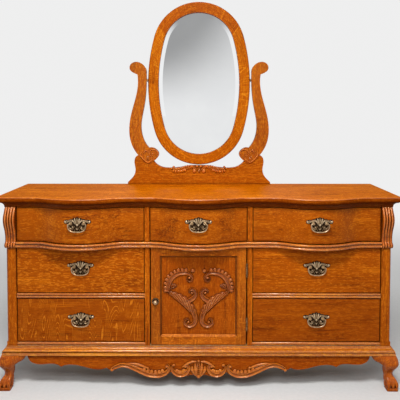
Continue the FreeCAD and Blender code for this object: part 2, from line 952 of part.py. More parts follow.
def apron_carving():
    """A shell in the middle with a scroll and a long leaf on each side."""
    stretch, drop = stretches_of("apron", s.apron_half, s.foot_height)
    leaf = [(372, 94, 8), (345, 108, 7), (310, 112, 8), (265, 99, 10), (215, 78, 11), (165, 66, 10)]
    leaf += [(134, 80, 8), (134, 100, 6)]
    scroll = [(112, 96, 5), (104, 78, 8), (78, 68, 10), (52, 74, 9), (44, 98, 7), (62, 112, 5)]
    relief = []
    for spine in (leaf, scroll):
        outline = fitted_leaf(spine, s.apron_face, stretch, drop)
        relief.append(extruded(outline, "Y", "-apron_carving_relief"))
    shell = oval(
        APRON_SHELL["half_width"] * stretch,
        APRON_SHELL["half_height"] * drop,
        APRON_SHELL["end_radius"] * min(stretch, drop),
        s.apron_face,
        APRON_SHELL["level"] * drop,
    )
    middle = extruded(shell, "Y", "-apron_carving_relief")
    side = group(relief)
    node("apron_carving", group([side, mirrored(side), middle]))


def rounded_square(centre, half, radius):
    edges = []
    for turn in range(4):
        wire_turn = Rotation(ALONG["Z"], 90 * turn)
        side_start = Vector(half, -(half - radius), 0)
        side_end = Vector(half, half - radius, 0)
        corner_centre = Vector(half - radius, half - radius, 0)
        corner_middle = corner_centre + Vector(1, 1, 0).normalize() * radius
        corner_end = Vector(half - radius, half, 0)
        turned_points = [
            centre + wire_turn.multVec(point) for point in (side_start, side_end, corner_middle, corner_end)
        ]
        edges.append(line(turned_points[0], turned_points[1]))
        edges.append(arc(*turned_points[1:]))
    return Part.Wire(Part.__sortEdges__(edges))


# The front foot: share of its height, shift outward from the post's centre, half width and
# corner radius.
FOOT_STATIONS = [
    (1.0, 15, 28, 4),
    (0.93, 18, 30.5, 7),
    (0.84, 19, 31.5, 10),
    (0.73, 17, 30, 13),
    (0.62, 12, 26.5, 14),
    (0.53, 7, 22.5, 14),
    (0.43, 7.5, 22, 14),
    (0.33, 13, 22.5, 13),
    (0.22, 20, 24, 11),
    (0.12, 25, 24.5, 6),
    (0.0, 26, 23.5, 3),
]
# The ear beside its knee: shares of the reach from the case's corner and of the foot's height.
FOOT_EAR = [
    (1.0, 0.985),
    (0.92, 0.965),
    (0.865, 0.91),
    (0.8, 0.85),
    (0.68, 0.795),
    (0.53, 0.755),
    (0.42, 0.71),
    (0.33, 0.66),
]


def front_feet():
    """Cabriole feet: a knee with an ear to each side, a slim ankle and a paw on a block."""
    middle = Vector(s.case_half - s.post_width / 2, s.case_front + s.post_width / 2, 0)
    grow, _ = stretches_of("post", s.post_width, s.post_width)
    wires = []
    for share, shift, half, radius in FOOT_STATIONS:
        centre = middle + Vector(shift, -shift, 0) * grow + Vector(0, 0, share * s.foot_height)
        wires.append(rounded_square(centre, half * grow, radius * grow))
    foot = Part.makeLoft(wires, True)
    curve = [Vector(reach * s.foot_reach, 0, share * s.foot_height) for reach, share in FOOT_EAR]
    corners = [Vector(curve[-1].x, 0, s.foot_height), Vector(s.foot_reach, 0, s.foot_height), curve[0]]
    edges = run_through([curve, [curve[-1], corners[0]], corners[:2], corners[1:]])
    ear_blank = filled(edges).extrude(Vector(0, s.apron_thickness, 0))
    front_ear = ear_blank.mirror(Vector(), ALONG["X"])
    front_ear.translate(Vector(s.case_half, s.apron_face, 0))
    side_ear = ear_blank.copy()
    side_ear.rotate(Vector(), ALONG["Z"], 90)
    side_ear.translate(Vector(s.case_half + s.apron_proud, s.case_front, 0))
    node("front_feet", pair(shaped(foot.fuse([front_ear, side_ear]).removeSplitter())))


# ---------------------------------------------------------------- drawers and pulls

# name, middle across, width and row of each opening, and whether its front is bowed
DRAWERS = [
    ("top_left", "-side_bay_centre", "side_bay_width", "top", True),
    ("top_centre", "0", "centre_bay_width", "top", True),
    ("top_right", "side_bay_centre", "side_bay_width", "top", True),
    ("middle_left", "-side_bay_centre", "side_bay_width", "middle", False),
    ("middle_right", "side_bay_centre", "side_bay_width", "middle", False),
    ("bottom_left", "-side_bay_centre", "side_bay_width", "bottom", False),
    ("bottom_right", "side_bay_centre", "side_bay_width", "bottom", False),
]


def pull_level(row):
    """The height of the bails' pivots in a row of drawers."""
    return "{0}_opening_low + {0}_opening_height / 2 + {0}_pull_rise".format(row)


def bolt_holes(middle, row, depth):
    """Two holes through a drawer's front for the pull's bolts."""
    holes = []
    for side in ("-", "+"):
        across = "%s %s pull_post_spread / 2" % (middle, side)
        holes.append(rod("Y", "bolt_radius", depth, across, "case_front - bow_depth", pull_level(row)))
    return group(holes)


def drawer_front(name, middle, width, row, bowed):
    blank = board(
        "%s - 2 * front_gap" % width,
        "bow_depth + box_front - case_front",
        "%s_opening_height - 2 * front_gap" % row,
        "%s - %s / 2 + front_gap" % (middle, width),
        "case_front - bow_depth",
        "%s_opening_low + front_gap" % row,
    )
    if bowed:
        back_forward = -s.front_inset - s.front_thickness
        band = serpentine_band(-s.front_inset, back_forward, s.bay_outer + s.post_width, s.top_opening_low)
        front = common(extruded(band, "Z", "top_opening_height"), blank)
    else:
        bind(blank, Width="front_thickness")
        place(
            blank,
            "%s - %s / 2 + front_gap" % (middle, width),
            "drawer_face",
            "%s_opening_low + front_gap" % row,
        )
        front = blank
    depth = "bow_depth + front_thickness + front_inset + box_wall"
    node("drawer_front_" + name, cut(front, bolt_holes(middle, row, depth)))


def drawer_box(name, middle, width, row, bowed):
    """Two sides, an inner front, a back and a bottom."""
    box_width = "(%s - 2 * box_side_gap)" % width
    left = "%s - %s / 2" % (middle, box_width)
    low = "%s_opening_low + box_low_gap" % row
    height = "%s_opening_height - box_low_gap - box_top_gap" % row
    inner = "%s - 2 * box_wall" % box_width
    inner_left = left + " + box_wall"
    boards = []
    for start in (left, "%s + %s - box_wall" % (left, box_width)):
        boards.append(board("box_wall", "box_depth", height, start, "box_front", low))
    inner_front = board(inner, "box_wall", height, inner_left, "box_front", low)
    if not bowed:
        inner_front = cut(inner_front, bolt_holes(middle, row, "bow_depth + frame_depth"))
    back = board(inner, "box_wall", height, inner_left, "box_front + box_depth - box_wall", low)
    bottom_depth = "box_depth - 2 * box_wall"
    bottom = board(inner, bottom_depth, "box_bottom", inner_left, "box_front + box_wall", low)
    node("drawer_box_" + name, group(boards + [inner_front, back, bottom]))


PULL_NECK = 0.7  # share of the post head's radius
BAIL_CORNER = 0.8  # share of the bail's drop that its lower corners take

# The back plate's edge, as shares of its half width and of its height from the bail's pivot.
PLATE_EDGE = [
    [(0, 0.33), (0.2, 0.25), (0.34, 0.3), (0.5, 0.17), (0.74, 0.24), (1, 0.1)],
    [(1, 0.1), (0.8, -0.02), (0.7, -0.12), (0.58, -0.4), (0.3, -0.62), (0, -0.67)],
]


def pull_plate(grip, sag):
    """A shaped back plate, and two posts on bolts that reach through the front to their nuts."""
    half = s.plate_width / 2
    edge = upright_points(PLATE_EDGE, -s.plate_thickness, stretch_x=half, stretch_z=s.plate_height)
    plate = filled(run_through(both_halves(edge))).extrude(Vector(0, s.plate_thickness, 0))
    across = s.pull_post_spread / 2
    posts = []
    for side in (-1, 1):
        start = Vector(side * across, -s.plate_thickness, 0)
        hole = Part.makeCylinder(s.bolt_radius, s.plate_thickness, start, ALONG["Y"])
        plate = plate.cut(hole)
        stand_length = s.pull_post_stand - s.plate_thickness
        stand = Part.makeCylinder(s.pull_post_radius * PULL_NECK, stand_length, start, -ALONG["Y"])
        head_centre = Vector(side * across, -s.pull_post_stand, 0)
        head = Part.makeSphere(s.pull_post_radius, head_centre)
        shank_length = s.plate_thickness + grip + sag + s.nut_thickness
        shank = Part.makeCylinder(s.bolt_radius, shank_length, start, ALONG["Y"])
        nut_start = Vector(side * across, grip + sag, 0)
        nut = Part.makeCylinder(s.nut_radius, s.nut_thickness, nut_start, ALONG["Y"])
        bore_start = head_centre - ALONG["X"] * (2 * s.pull_post_radius)
        bore_radius = s.bail_pin_radius + s.bail_clearance
        bore = Part.makeCylinder(bore_radius, 4 * s.pull_post_radius, bore_start, ALONG["X"])
        posts.append(stand.fuse([head, shank, nut]).cut(bore))
    return Part.makeCompound([plate] + posts)


def pull_bail():
    """A swinging bail: two pins that point inward, and a round wire that drops between them."""
    post_side = s.pull_post_spread / 2 + s.pull_post_radius
    turn = s.bail_bend
    half = post_side + s.bail_shoulder_gap + turn
    drop = s.bail_drop - s.bail_wire_radius
    corner = BAIL_CORNER * drop
    y = -s.pull_post_stand
    diagonal = math.sqrt(0.5)
    wire = []
    for side in (-1, 1):
        shoulder = Vector(side * (half - turn), y, 0)
        bend = Vector(side * (half - turn + turn * diagonal), y, -turn + turn * diagonal)
        down = Vector(side * half, y, -turn)
        low = Vector(side * half, y, -(drop - corner) - TINY)
        sweep_middle = Vector(side * (half - corner + corner * diagonal), y, -(drop - corner + corner * diagonal))
        flat = Vector(side * (half - corner), y, -drop)
        wire.append(arc(shoulder, bend, down))
        wire.append(line(down, low))
        wire.append(arc(low, sweep_middle, flat))
    wire.append(line(Vector(-(half - corner), y, -drop), Vector(half - corner, y, -drop)))
    path = Part.Wire(Part.__sortEdges__(wire))
    start = path.Vertexes[0].Point
    section = Part.Wire([Part.Circle(start, ALONG["X"], s.bail_wire_radius).toShape()])
    bail = path.makePipeShell([section], True, False)
    for side in (-1, 1):
        pin_start = Vector(side * (half - turn), y, 0)
        inner_end = s.pull_post_spread / 2 - s.pull_post_radius - s.bail_pin_end
        pin_length = half - turn - inner_end
        bail = bail.fuse(Part.makeCylinder(s.bail_pin_radius, pin_length, pin_start, ALONG["X"] * -side))
    return bail


def drawers():
    across = s.pull_post_spread / 2
    grip_sag = bow_sag(across + s.nut_radius, -s.front_inset - s.front_thickness)
    bail_shape = pull_bail()
    plates = {
        True: pull_plate(s.front_thickness, grip_sag),
        False: pull_plate(s.front_thickness + s.box_wall, 0),
    }
    for drawer in DRAWERS:
        name, middle, width, row, bowed = drawer
        drawer_front(*drawer)
        drawer_box(*drawer)
        face = "drawer_face - bow_depth" if bowed else "drawer_face"
        plate = node("pull_plate_" + name, shaped(plates[bowed]))
        bail = node("pull_bail_" + name, shaped(bail_shape))
        for piece in (plate, bail):
            place(piece, middle, face, pull_level(row))


# ---------------------------------------------------------------- cupboard door


def door_frame():
    """Two stiles and two rails round a bevelled opening."""
    body = doc.addObject("PartDesign::Body", "DoorBlank")
    thick = "door_thickness"
    front = "case_front"
    body_block(body, "Additive", "2 * door_half", thick, "door_height", "-door_half", front, "door_low")
    body_block(body, "Subtractive", "2 * sight_half", thick, "sight_height", "-sight_half", front, "sight_low")
    doc.recompute()
    opened = body.Tip
    sight_top = s.sight_low + s.sight_height

    def front_sight_edge(box):
        inside = box.XMin > -s.sight_half - TINY and box.XMax < s.sight_half + TINY
        level = box.ZMin > s.sight_low - TINY and box.ZMax < sight_top + TINY
        return inside and level and box.YMax < s.case_front + TINY

    bevel = body.newObject("PartDesign::Chamfer", "SightBevel")
    bevel.Base = (opened, edges_where(opened.Shape, front_sight_edge))
    bind(bevel, Size="door_bevel")
    doc.recompute()
    knob_x = "-(door_half - knob_inset)"
    knob_hole = rod("Y", "bolt_radius", thick, knob_x, front, "knob_level")
    stiles = []
    for start in ("-door_half", "sight_half"):
        region = board("door_stile_width", thick, "door_height", start, front, "door_low")
        stiles.append(common(body, region))
    stiles[0] = cut(stiles[0], knob_hole)
    rails = []
    for low in ("door_low", "door_low + door_height - door_rail_width"):
        region = board("2 * sight_half", thick, "door_rail_width", "-sight_half", front, low)
        rails.append(common(body, region))
    node("door_frame", group(stiles + rails))


def door_panel():
    panel = board(
        "2 * sight_half",
        "door_panel_thickness",
        "sight_height",
        "-sight_half",
        "case_front + door_panel_set_back",
        "sight_low",
    )
    node("door_panel", panel)


# A scroll's spine: across from the middle, above the opening's foot, half width.
SCROLL_SPINES = [
    [(24, 247, 9), (34, 266, 9), (62, 276, 8), (94, 266, 9), (120, 240, 10), (128, 205, 11), (112, 178, 11)],
    [(100, 170, 10), (78, 150, 12), (50, 122, 14), (24, 90, 13), (14, 60, 11), (26, 32, 8), (52, 28, 7)],
    [(36, 136, 7), (18, 152, 7), (14, 176, 7), (30, 186, 6)],
]


def door_carvings():
    """Two mirrored scrolls laid on the panel."""
    stretch_x, stretch_z = stretches_of("sight", 2 * s.sight_half, s.sight_height)
    face = s.case_front + s.door_panel_set_back
    scroll = []
    for spine in SCROLL_SPINES:
        outline = fitted_leaf(spine, face, stretch_x, stretch_z, s.sight_low)
        scroll.append(extruded(outline, "Y", "-door_carving_relief"))
    node("door_carvings", pair(fused(scroll)))


KNOB_SWELL = 0.62  # share of the knob's radius by which its side stands off the chord


def door_knob():
    """A turned knob on a rosette, with its bolt through the stile."""
    profile = [
        ("0", "door_thickness"),
        ("bolt_radius", "door_thickness"),
        ("bolt_radius", "0"),
        ("rosette_radius", "0"),
        ("rosette_radius", "-rosette_edge"),
        ("knob_neck_radius", "-rosette_height"),
        ("knob_neck_radius", "-knob_neck_end"),
        ("0", "-knob_neck_end - knob_length"),
    ]
    knob = turned(profile, {6: KNOB_SWELL * s.knob_radius})
    node("door_knob", place(knob, "-(door_half - knob_inset)", "case_front", "knob_level"))


KNUCKLES = 5


def hinges():
    """Butt hinges with five knuckles: three and the pin on the case, two on the door."""
    axis_x = s.hinge_across
    axis_y = s.hinge_forward
    case_solids = []
    door_solids = []
    for level in (s.hinge_lower_level, s.hinge_upper_level):
        low = level - s.hinge_length / 2
        axis_foot = Vector(axis_x, axis_y, low)
        step = s.hinge_length / KNUCKLES
        for side, solids in ((1, case_solids), (-1, door_solids)):
            face = axis_x + side * s.door_side_gap / 2
            corner = Vector(min(face, face - side * s.hinge_leaf), s.case_front, low)
            leaf = Part.makeBox(s.hinge_leaf, s.hinge_leaf_width, s.hinge_length, corner)
            neck_size = (abs(face - axis_x), s.case_front - axis_y, step - s.hinge_knuckle_gap)
            pieces = []
            for index in range(0 if side == 1 else 1, KNUCKLES, 2):
                rise = Vector(0, 0, index * step + s.hinge_knuckle_gap / 2)
                knuckle = Part.makeCylinder(s.hinge_knuckle_radius, neck_size[2], axis_foot + rise)
                neck = Part.makeBox(*neck_size, Vector(min(axis_x, face), axis_y, low) + rise)
                pieces.append(knuckle.fuse(neck))
            solid = leaf.fuse(pieces)
            if side == 1:
                solid = solid.fuse(Part.makeCylinder(s.hinge_pin_radius, s.hinge_length, axis_foot))
            else:
                bore_radius = s.hinge_pin_radius + s.hinge_clearance
                solid = solid.cut(Part.makeCylinder(bore_radius, s.hinge_length, axis_foot))
            solids.append(solid.removeSplitter())
    node("hinge_case_leaves", shaped(Part.makeCompound(case_solids)))
    node("hinge_door_leaves", shaped(Part.makeCompound(door_solids)))


def door_catch():
    """A small spring catch on the left stile, behind the door."""
    behind_door = "case_front + door_thickness + catch_gap"
    low = "knob_level - catch_height / 2"
    catch = board("catch_width", "catch_depth", "catch_height", "-centre_bay_width / 2", behind_door, low)
    node("door_catch", catch)


# ---------------------------------------------------------------- mirror

# The base board's right half: across from the middle and above the top.
MIRROR_BASE_EDGE = [
    [(0, 92), (45, 90), (95, 83), (135, 80), (175, 84), (218, 114)],
    [(218, 114), (262, 142), (288, 142)],
    [(288, 142), (306, 132), (312, 108), (307, 72), (315, 42), (330, 24), (344, 10)],
    [(344, 10), (344, 0)],
]

# The right upright: across from the middle and above the top. Stretches meet in points.
UPRIGHT_EDGE = [
    [(247, 102), (297, 146), (328, 204), (336, 262), (326, 340), (302, 428), (293, 490), (296, 530)],
    [(296, 530), (314, 537), (331, 552), (331, 572), (312, 588), (286, 587), (262, 570), (252, 535)],
    [(252, 535), (252, 490), (263, 378), (278, 275), (268, 222), (240, 177)],
    [(240, 177), (208, 171), (193, 147), (205, 124), (247, 102)],
]


def mirror_stand():
    """The shaped board on the back of the top, and the two harp uprights let into it."""
    stretch_x, stretch_z = stretches_of("mirror_base", s.mirror_base_width / 2, s.mirror_base_height)
    edge = upright_points(
        MIRROR_BASE_EDGE, s.mirror_base_face, stretch_x=stretch_x, stretch_z=stretch_z, rise=s.top_height
    )
    foot = Vector(s.mirror_base_width / 2, s.mirror_base_face, s.top_height)
    closing = [[Vector(-foot.x, foot.y, foot.z), foot]]
    base = extruded(filled(run_through(both_halves(edge) + closing)), "Y", "mirror_base_thickness")

    inner_edge = s.mirror_width / 2 + s.upright_gap
    _, taller = stretches_of("pivot", inner_edge, s.pivot_level - s.top_height)
    outline = upright_points(
        UPRIGHT_EDGE,
        s.top_back - s.upright_thickness,
        stretch_x=stretch_x,
        shift_x=inner_edge - stretch_x * DRAWN["pivot"][0],
        stretch_z=taller,
        rise=s.top_height,
    )
    blank = extruded(filled(run_through(outline)), "Y", "upright_thickness")
    hole_start = "mirror_width / 2 - pivot_depth"
    hole = rod("X", "pivot_radius", "3 * pivot_depth", hole_start, "mirror_plane", "pivot_level")
    upright = cut(blank, hole)
    node("mirror_uprights", pair(upright))
    node("mirror_base", cut(base, pair(blank)))


def mirror_base_carving():
    """Two leafy scrolls that meet under the crest."""
    stretch_x, stretch_z = stretches_of("mirror_base", s.mirror_base_width / 2, s.mirror_base_height)
    leaf = [(126, 80, 4), (112, 72, 6), (84, 72, 8), (56, 80, 8), (32, 80, 8), (19, 68, 8)]
    outline = fitted_leaf(leaf, s.mirror_base_face, stretch_x, stretch_z, s.top_height)
    node("mirror_base_carving", pair(extruded(outline, "Y", "-mirror_carving_relief")))


def mirror_frame():
    """An oval ring, rounded outside, rebated behind for the glass."""
    front = s.mirror_front
    ring = mirror_oval(0, front).extrude(Vector(0, s.mirror_thickness, 0))
    rounded = []
    for edge in ring.Edges:
        if edge.BoundBox.YMax < front + TINY:
            rounded.append(edge)
    ring = ring.makeFillet(s.mirror_round, rounded)
    sight = mirror_oval(s.mirror_rail_width, front - CLEAR)
    ring = ring.cut(sight.extrude(Vector(0, 2 * s.mirror_thickness, 0)))
    rebate_front = front + s.mirror_thickness - s.mirror_rebate
    rebate = mirror_oval(s.mirror_rail_width - s.mirror_lip, rebate_front)
    ring = shaped(ring.cut(rebate.extrude(Vector(0, 2 * s.mirror_rebate, 0))))
    bores = []
    depth = "2 * pivot_depth"
    for side in ("-", ""):
        centre = "%s(mirror_width / 2) - pivot_depth" % side
        radius = "pivot_radius + pivot_clearance"
        bores.append(rod("X", radius, depth, centre, "mirror_plane", "pivot_level"))
    node("mirror_frame", cut(ring, group(bores)))


def mirror_glass():
    """A plate in the rebate, with a wide flat bevel round its face."""
    inside = s.mirror_rail_width - s.mirror_lip
    face = s.mirror_front + s.mirror_thickness - s.mirror_rebate
    outer = mirror_oval(inside, face + s.mirror_bevel_depth)
    inner = mirror_oval(inside + s.mirror_lip + s.mirror_glass_bevel, face)
    bevelled = Part.makeLoft([outer.OuterWire, inner.OuterWire], True)
    plate = outer.extrude(Vector(0, s.mirror_glass_thickness - s.mirror_bevel_depth, 0))
    node("mirror_glass", shaped(plate.fuse(bevelled).removeSplitter()))
    back = mirror_oval(inside, face + s.mirror_glass_thickness)
    node("mirror_backboard", extruded(back, "Y", "mirror_back_thickness"))


def mirror_pivots():
    """A pin in each upright, on which the frame tilts, with a collar in the gap."""
    start = "mirror_width / 2 - pivot_depth + pivot_end_gap"
    length = "2 * pivot_depth + upright_gap - pivot_end_gap"
    pin = rod("X", "pivot_radius", length, start, "mirror_plane", "pivot_level")
    collar_start = "mirror_width / 2 + pivot_collar_clearance"
    collar_length = "upright_gap / 2"
    collar = rod("X", "pivot_collar_radius", collar_length, collar_start, "mirror_plane", "pivot_level")
    node("mirror_pivots", pair(fused([pin, collar])))


# ---------------------------------------------------------------- the whole


def check_model():
    """Stops if any object failed to build or any sub-part is missing or broken."""
    faults = []
    for item in doc.Objects:
        if "Invalid" in item.State or "Error" in item.State:
            faults.append("%s did not build" % item.Label)
    for piece in NODES:
        if piece.Shape.isNull() or not piece.Shape.isValid():
            faults.append("%s has no valid shape" % piece.Label)
        elif not piece.Shape.Solids:
            faults.append("%s holds no solid" % piece.Label)
    if faults:
        raise RuntimeError("; ".join(faults))


def build():
    top_board()
    regions = mitre_regions()
    bed_moulding(regions)
    side_frames()
    rear = rear_posts()
    posts = front_posts()
    corbels(posts)
    bottom_panel(posts, rear)
    back_panel()
    partitions()
    bay_stiles()
    top_rail()
    waist_rail()
    drawer_rails()
    base_moulding(regions)
    drawer_runners()
    apron()
    apron_carving()
    front_feet()
    drawers()
    door_frame()
    door_panel()
    door_carvings()
    door_knob()
    hinges()
    door_catch()
    mirror_stand()
    mirror_base_carving()
    mirror_frame()
    mirror_glass()
    mirror_pivots()
    doc.recompute()
    check_model()


def export():
    os.makedirs("parts", exist_ok=True)
    for piece in NODES:
        piece.Shape.exportStep("parts/%s.step" % piece.Label)


build()
export()
print("%d sub-parts" % len(NODES))
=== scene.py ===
import json
import math
from functools import reduce

import bmesh
import bpy
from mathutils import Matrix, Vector


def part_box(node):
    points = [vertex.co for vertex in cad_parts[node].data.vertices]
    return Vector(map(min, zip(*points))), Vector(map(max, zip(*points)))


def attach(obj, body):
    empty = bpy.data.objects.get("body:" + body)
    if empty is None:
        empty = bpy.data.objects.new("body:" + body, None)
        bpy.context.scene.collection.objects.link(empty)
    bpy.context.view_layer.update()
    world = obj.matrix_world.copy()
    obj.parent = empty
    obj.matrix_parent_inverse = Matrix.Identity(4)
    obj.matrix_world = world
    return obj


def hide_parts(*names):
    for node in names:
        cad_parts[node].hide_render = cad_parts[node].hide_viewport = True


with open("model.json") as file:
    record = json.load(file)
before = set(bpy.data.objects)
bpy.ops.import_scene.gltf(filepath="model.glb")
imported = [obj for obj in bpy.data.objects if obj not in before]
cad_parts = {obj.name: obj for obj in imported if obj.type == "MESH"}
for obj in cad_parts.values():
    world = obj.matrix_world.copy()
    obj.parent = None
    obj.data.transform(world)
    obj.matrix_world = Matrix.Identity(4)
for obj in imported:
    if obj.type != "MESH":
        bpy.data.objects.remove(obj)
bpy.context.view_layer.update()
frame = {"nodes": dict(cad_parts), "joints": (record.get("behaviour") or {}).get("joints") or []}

# A triple oak dresser with a tilting oval mirror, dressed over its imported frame. Metres, with X to
# the right as seen from the front, Y to the back and Z up. Modelled forms are drawn in millimetres.

NODES = frame["nodes"]
MM = 0.001
ROWS = {"top": ("left", "centre", "right"), "middle": ("left", "right"), "bottom": ("left", "right")}
DRAWERS = [row + "_" + side for row, sides in ROWS.items() for side in sides]
BOWED = [name for name in DRAWERS if name.startswith("top")]


# ------ node trees

# a mix node's first input and its output, for each kind of value
MIX_SOCKETS = {"FLOAT": (2, 0), "VECTOR": (4, 1), "RGBA": (6, 2)}
# turns that lay a grain's X along an axis of the object
GRAIN_TURNS = {"X": (0, 0, 0), "Y": (0, 0, math.pi / 2), "Z": (0, math.pi / 2, 0)}


class Tree:
    """Adds nodes to a node tree. An input is a number, a colour, a node or an output of one."""

    def __init__(self, tree):
        self.tree = tree
        tree.nodes.clear()

    def add(self, kind, *inputs, **named):
        """A new node. Inputs come in order, or by name with _ for a space, and settings in lower case."""
        node = self.tree.nodes.new(kind if kind.startswith("NodeGroup") else "ShaderNode" + kind)
        for socket, value in zip(node.inputs, inputs):
            self.feed(socket, value)
        for name, value in named.items():
            if name.islower():
                setattr(node, name, value)
            else:
                self.feed(node.inputs[name.replace("_", " ")], value)
        return node

    def feed(self, socket, value):
        if isinstance(value, bpy.types.Node):
            value = value.outputs[0]
        if isinstance(value, bpy.types.NodeSocket):
            self.tree.links.new(value, socket)
        else:
            socket.default_value = (*value, 1) if socket.type == "RGBA" else value

    def math(self, operation, a, b=0.0):
        return self.add("Math", a, b, operation=operation)

    def plus(self, a, b):
        return self.math("ADD", a, b)

    def times(self, a, b):
        return self.math("MULTIPLY", a, b)

    def greater(self, a, b):
        return self.math("MAXIMUM", a, b)

    def absolute(self, value):
        return self.math("ABSOLUTE", value)

    def weighted(self, *shares):
        """Values times their shares, added up."""
        return reduce(self.plus, [self.times(value, share) for value, share in shares])

    def vector(self, operation, a, b):
        return self.add("VectorMath", a, b, operation=operation)

    def between(self, value, low, high, to_low=0.0, to_high=1.0):
        """Carries a value smoothly from one range to another, and holds it at the ends."""
        return self.add("MapRange", value, low, high, to_low, to_high, interpolation_type="SMOOTHSTEP")

    def mix(self, share, a, b, blend="MIX", kind="RGBA"):
        """Two colours mixed, or two values of another kind."""
        first, output = MIX_SOCKETS[kind]
        node = self.add("Mix", share, data_type=kind, blend_type=blend)
        self.feed(node.inputs[first], a)
        self.feed(node.inputs[first + 1], b)
        return node.outputs[output]

    def ramp(self, value, stops):
        node = self.add("ValToRGB", value)
        elements = node.color_ramp.elements
        while len(elements) < len(stops):
            elements.new(0.5)
        for element, (place, colour) in zip(elements, stops):
            element.position = place
            element.color = (*colour, 1)
        return node

    def place(self):
        """The object's own coordinates, in metres."""
        return self.add("TexCoord").outputs["Object"]

    def along(self, axis, shift=(0, 0, 0)):
        """The same, turned so that X runs along an axis."""
        return self.scaled(self.place(), (1, 1, 1), shift, GRAIN_TURNS[axis])

    def parts(self, vector):
        return self.add("SeparateXYZ", vector).outputs

    def scaled(self, vector, scale, shift=(0, 0, 0), turn=(0, 0, 0)):
        return self.add("Mapping", Vector=vector, Scale=scale, Location=shift, Rotation=turn)

    def noise(self, vector, scale, shift=(0, 0, 0), detail=3.0, roughness=0.55, turn=(0, 0, 0)):
        place = self.scaled(vector, scale, shift, turn)
        return self.add("TexNoise", Vector=place, Scale=1.0, Detail=detail, Roughness=roughness)

    def warped(self, vector, scale, reach):
        """The place pushed about by a noise, as far as the reach in metres."""
        push = self.noise(vector, scale, detail=2).outputs["Color"]
        centred = self.vector("SUBTRACT", push, (0.5, 0.5, 0.5))
        return self.vector("ADD", vector, self.vector("MULTIPLY", centred, reach))

    def bump(self, height, strength, distance=0.0004):
        return self.add("Bump", Height=height, Strength=strength, Distance=distance)

    def raised(self):
        """How raised a modelled point is, from 0 in a hollow to 1 on a crest."""
        return self.add("Attribute", attribute_name="relief").outputs["Fac"]

    def seen(self, *kinds):
        """1 for a ray of one of the kinds, 0 for any other."""
        rays = self.add("LightPath").outputs
        return reduce(self.greater, [rays["Is " + kind + " Ray"] for kind in kinds])


class Material(Tree):
    def __init__(self, name):
        self.made = bpy.data.materials.new(name)
        self.made.use_nodes = True
        super().__init__(self.made.node_tree)

    def surface(self, **inputs):
        """Ends the material in its one shader."""
        self.add("OutputMaterial", self.add("BsdfPrincipled", **inputs))
        return self.made


# ------ oak

PORE = (0.085, 0.012, 0.001)
DARK_GRAIN = (0.19, 0.028, 0.001)
MID_GRAIN = (0.4, 0.077, 0.0015)
LIGHT_GRAIN = (0.65, 0.165, 0.005)
RAY_FLECK = (0.78, 0.24, 0.014)
# dark brown: old stain, and painted shade in corners and carved hollows
STAIN_AND_SHADE = (0.06, 0.01, 0.001)
# pale: wear, and painted highlight on carved crests
WORN_AND_HIGHLIGHT = (0.64, 0.21, 0.05)
OAK_SHEEN = (1, 0.62, 0.25)
VARNISH_SHEEN = (1, 0.72, 0.5)
BEADED_SHEEN = (1, 0.9, 0.75)
OAK_SOCKETS = {
    "INPUT": {"Vector": "Vector", "Flakes": "Float", "Ripple": "Float"},
    "OUTPUT": {"Color": "Color", "Roughness": "Float", "Height": "Float"},
}


def oak_group():
    """Quarter-sawn oak: takes a place in metres with the grain along X, gives colour, gloss and height.

    Flakes sets how strongly the long wavy rays show, Ripple the short figure that runs with the grain."""
    group = bpy.data.node_groups.new("quarter_sawn_oak", "ShaderNodeTree")
    for way, kinds in OAK_SOCKETS.items():
        for name, kind in kinds.items():
            group.interface.new_socket(name, in_out=way, socket_type="NodeSocket" + kind)
    tree = Tree(group)
    given = tree.add("NodeGroupInput").outputs
    place = given["Vector"]
    swayed = tree.warped(place, (2.2, 9, 9), (0, 0.035, 0.035))
    broad = tree.noise(swayed, (1.1, 38, 38))
    fine = tree.noise(swayed, (4.5, 230, 230), (3, 1, 2), 5, 0.62)
    patches = tree.noise(place, (4.5, 9, 9), (5, 0, 9))
    grain = tree.weighted((broad, 0.34), (fine, 0.36), (patches, 0.3))
    stops = [(0.38, DARK_GRAIN), (0.47, MID_GRAIN), (0.54, MID_GRAIN), (0.64, LIGHT_GRAIN)]
    colour = tree.ramp(grain, stops)

    # the rays: long wavy flakes that cross the grain, broken into lengths
    shivering = tree.warped(place, (48, 48, 48), (0.004, 0.004, 0.004))
    bands = tree.times(tree.noise(shivering, (22, 3.4, 3.4), (1, 4, 7), 0.5, 0.4, (0, 0.3, 0.3)), 64)
    flake_line = tree.between(tree.absolute(tree.math("SINE", bands)), 0.1, 0.45, 1, 0)
    lengths = tree.between(tree.noise(place, (20, 20, 20), (2, 2, 6), 2), 0.4, 0.56)
    colour = tree.mix(tree.times(tree.times(flake_line, lengths), given["Flakes"]), colour, RAY_FLECK)

    # the ripple: short curling figure that runs with the grain
    curling = tree.warped(place, (42, 80, 80), (0.008, 0.006, 0.006))
    wave = tree.math("SINE", tree.times(tree.noise(curling, (32, 125, 125), (8, 1, 3), 3, 0.5), 22))
    bright = tree.between(wave, 0.1, 0.95)
    dull = tree.between(wave, -0.95, -0.2, 0.5, 0)
    colour = tree.mix(tree.times(bright, given["Ripple"]), colour, RAY_FLECK)
    colour = tree.mix(tree.times(dull, given["Ripple"]), colour, DARK_GRAIN)

    # the pores: short dark dashes along the grain, fewer where it is pale
    dashes = tree.between(tree.noise(swayed, (55, 1250, 1250), (6, 3, 1), 1, 0.4), 0.57, 0.68)
    pores = tree.times(tree.times(dashes, tree.between(fine, 0.38, 0.6, 1, 0.25)), 0.75)
    colour = tree.mix(pores, colour, PORE)

    rough = tree.plus(tree.between(grain, 0.3, 0.7, 0.42, 0.32), tree.times(pores, 0.2))
    height = tree.math("SUBTRACT", tree.times(fine, 0.35), pores)
    tree.add("NodeGroupOutput", colour, rough, height)
    return group


OAK = oak_group()
OAK_LOOK = {"relief": 0, "figure": (0.25, 0.3), "gloss": 0.25, "polish": 1, "sheen": OAK_SHEEN}
CORNER_SHADE_REACH = 0.014  # how far out of a corner its painted shade spreads
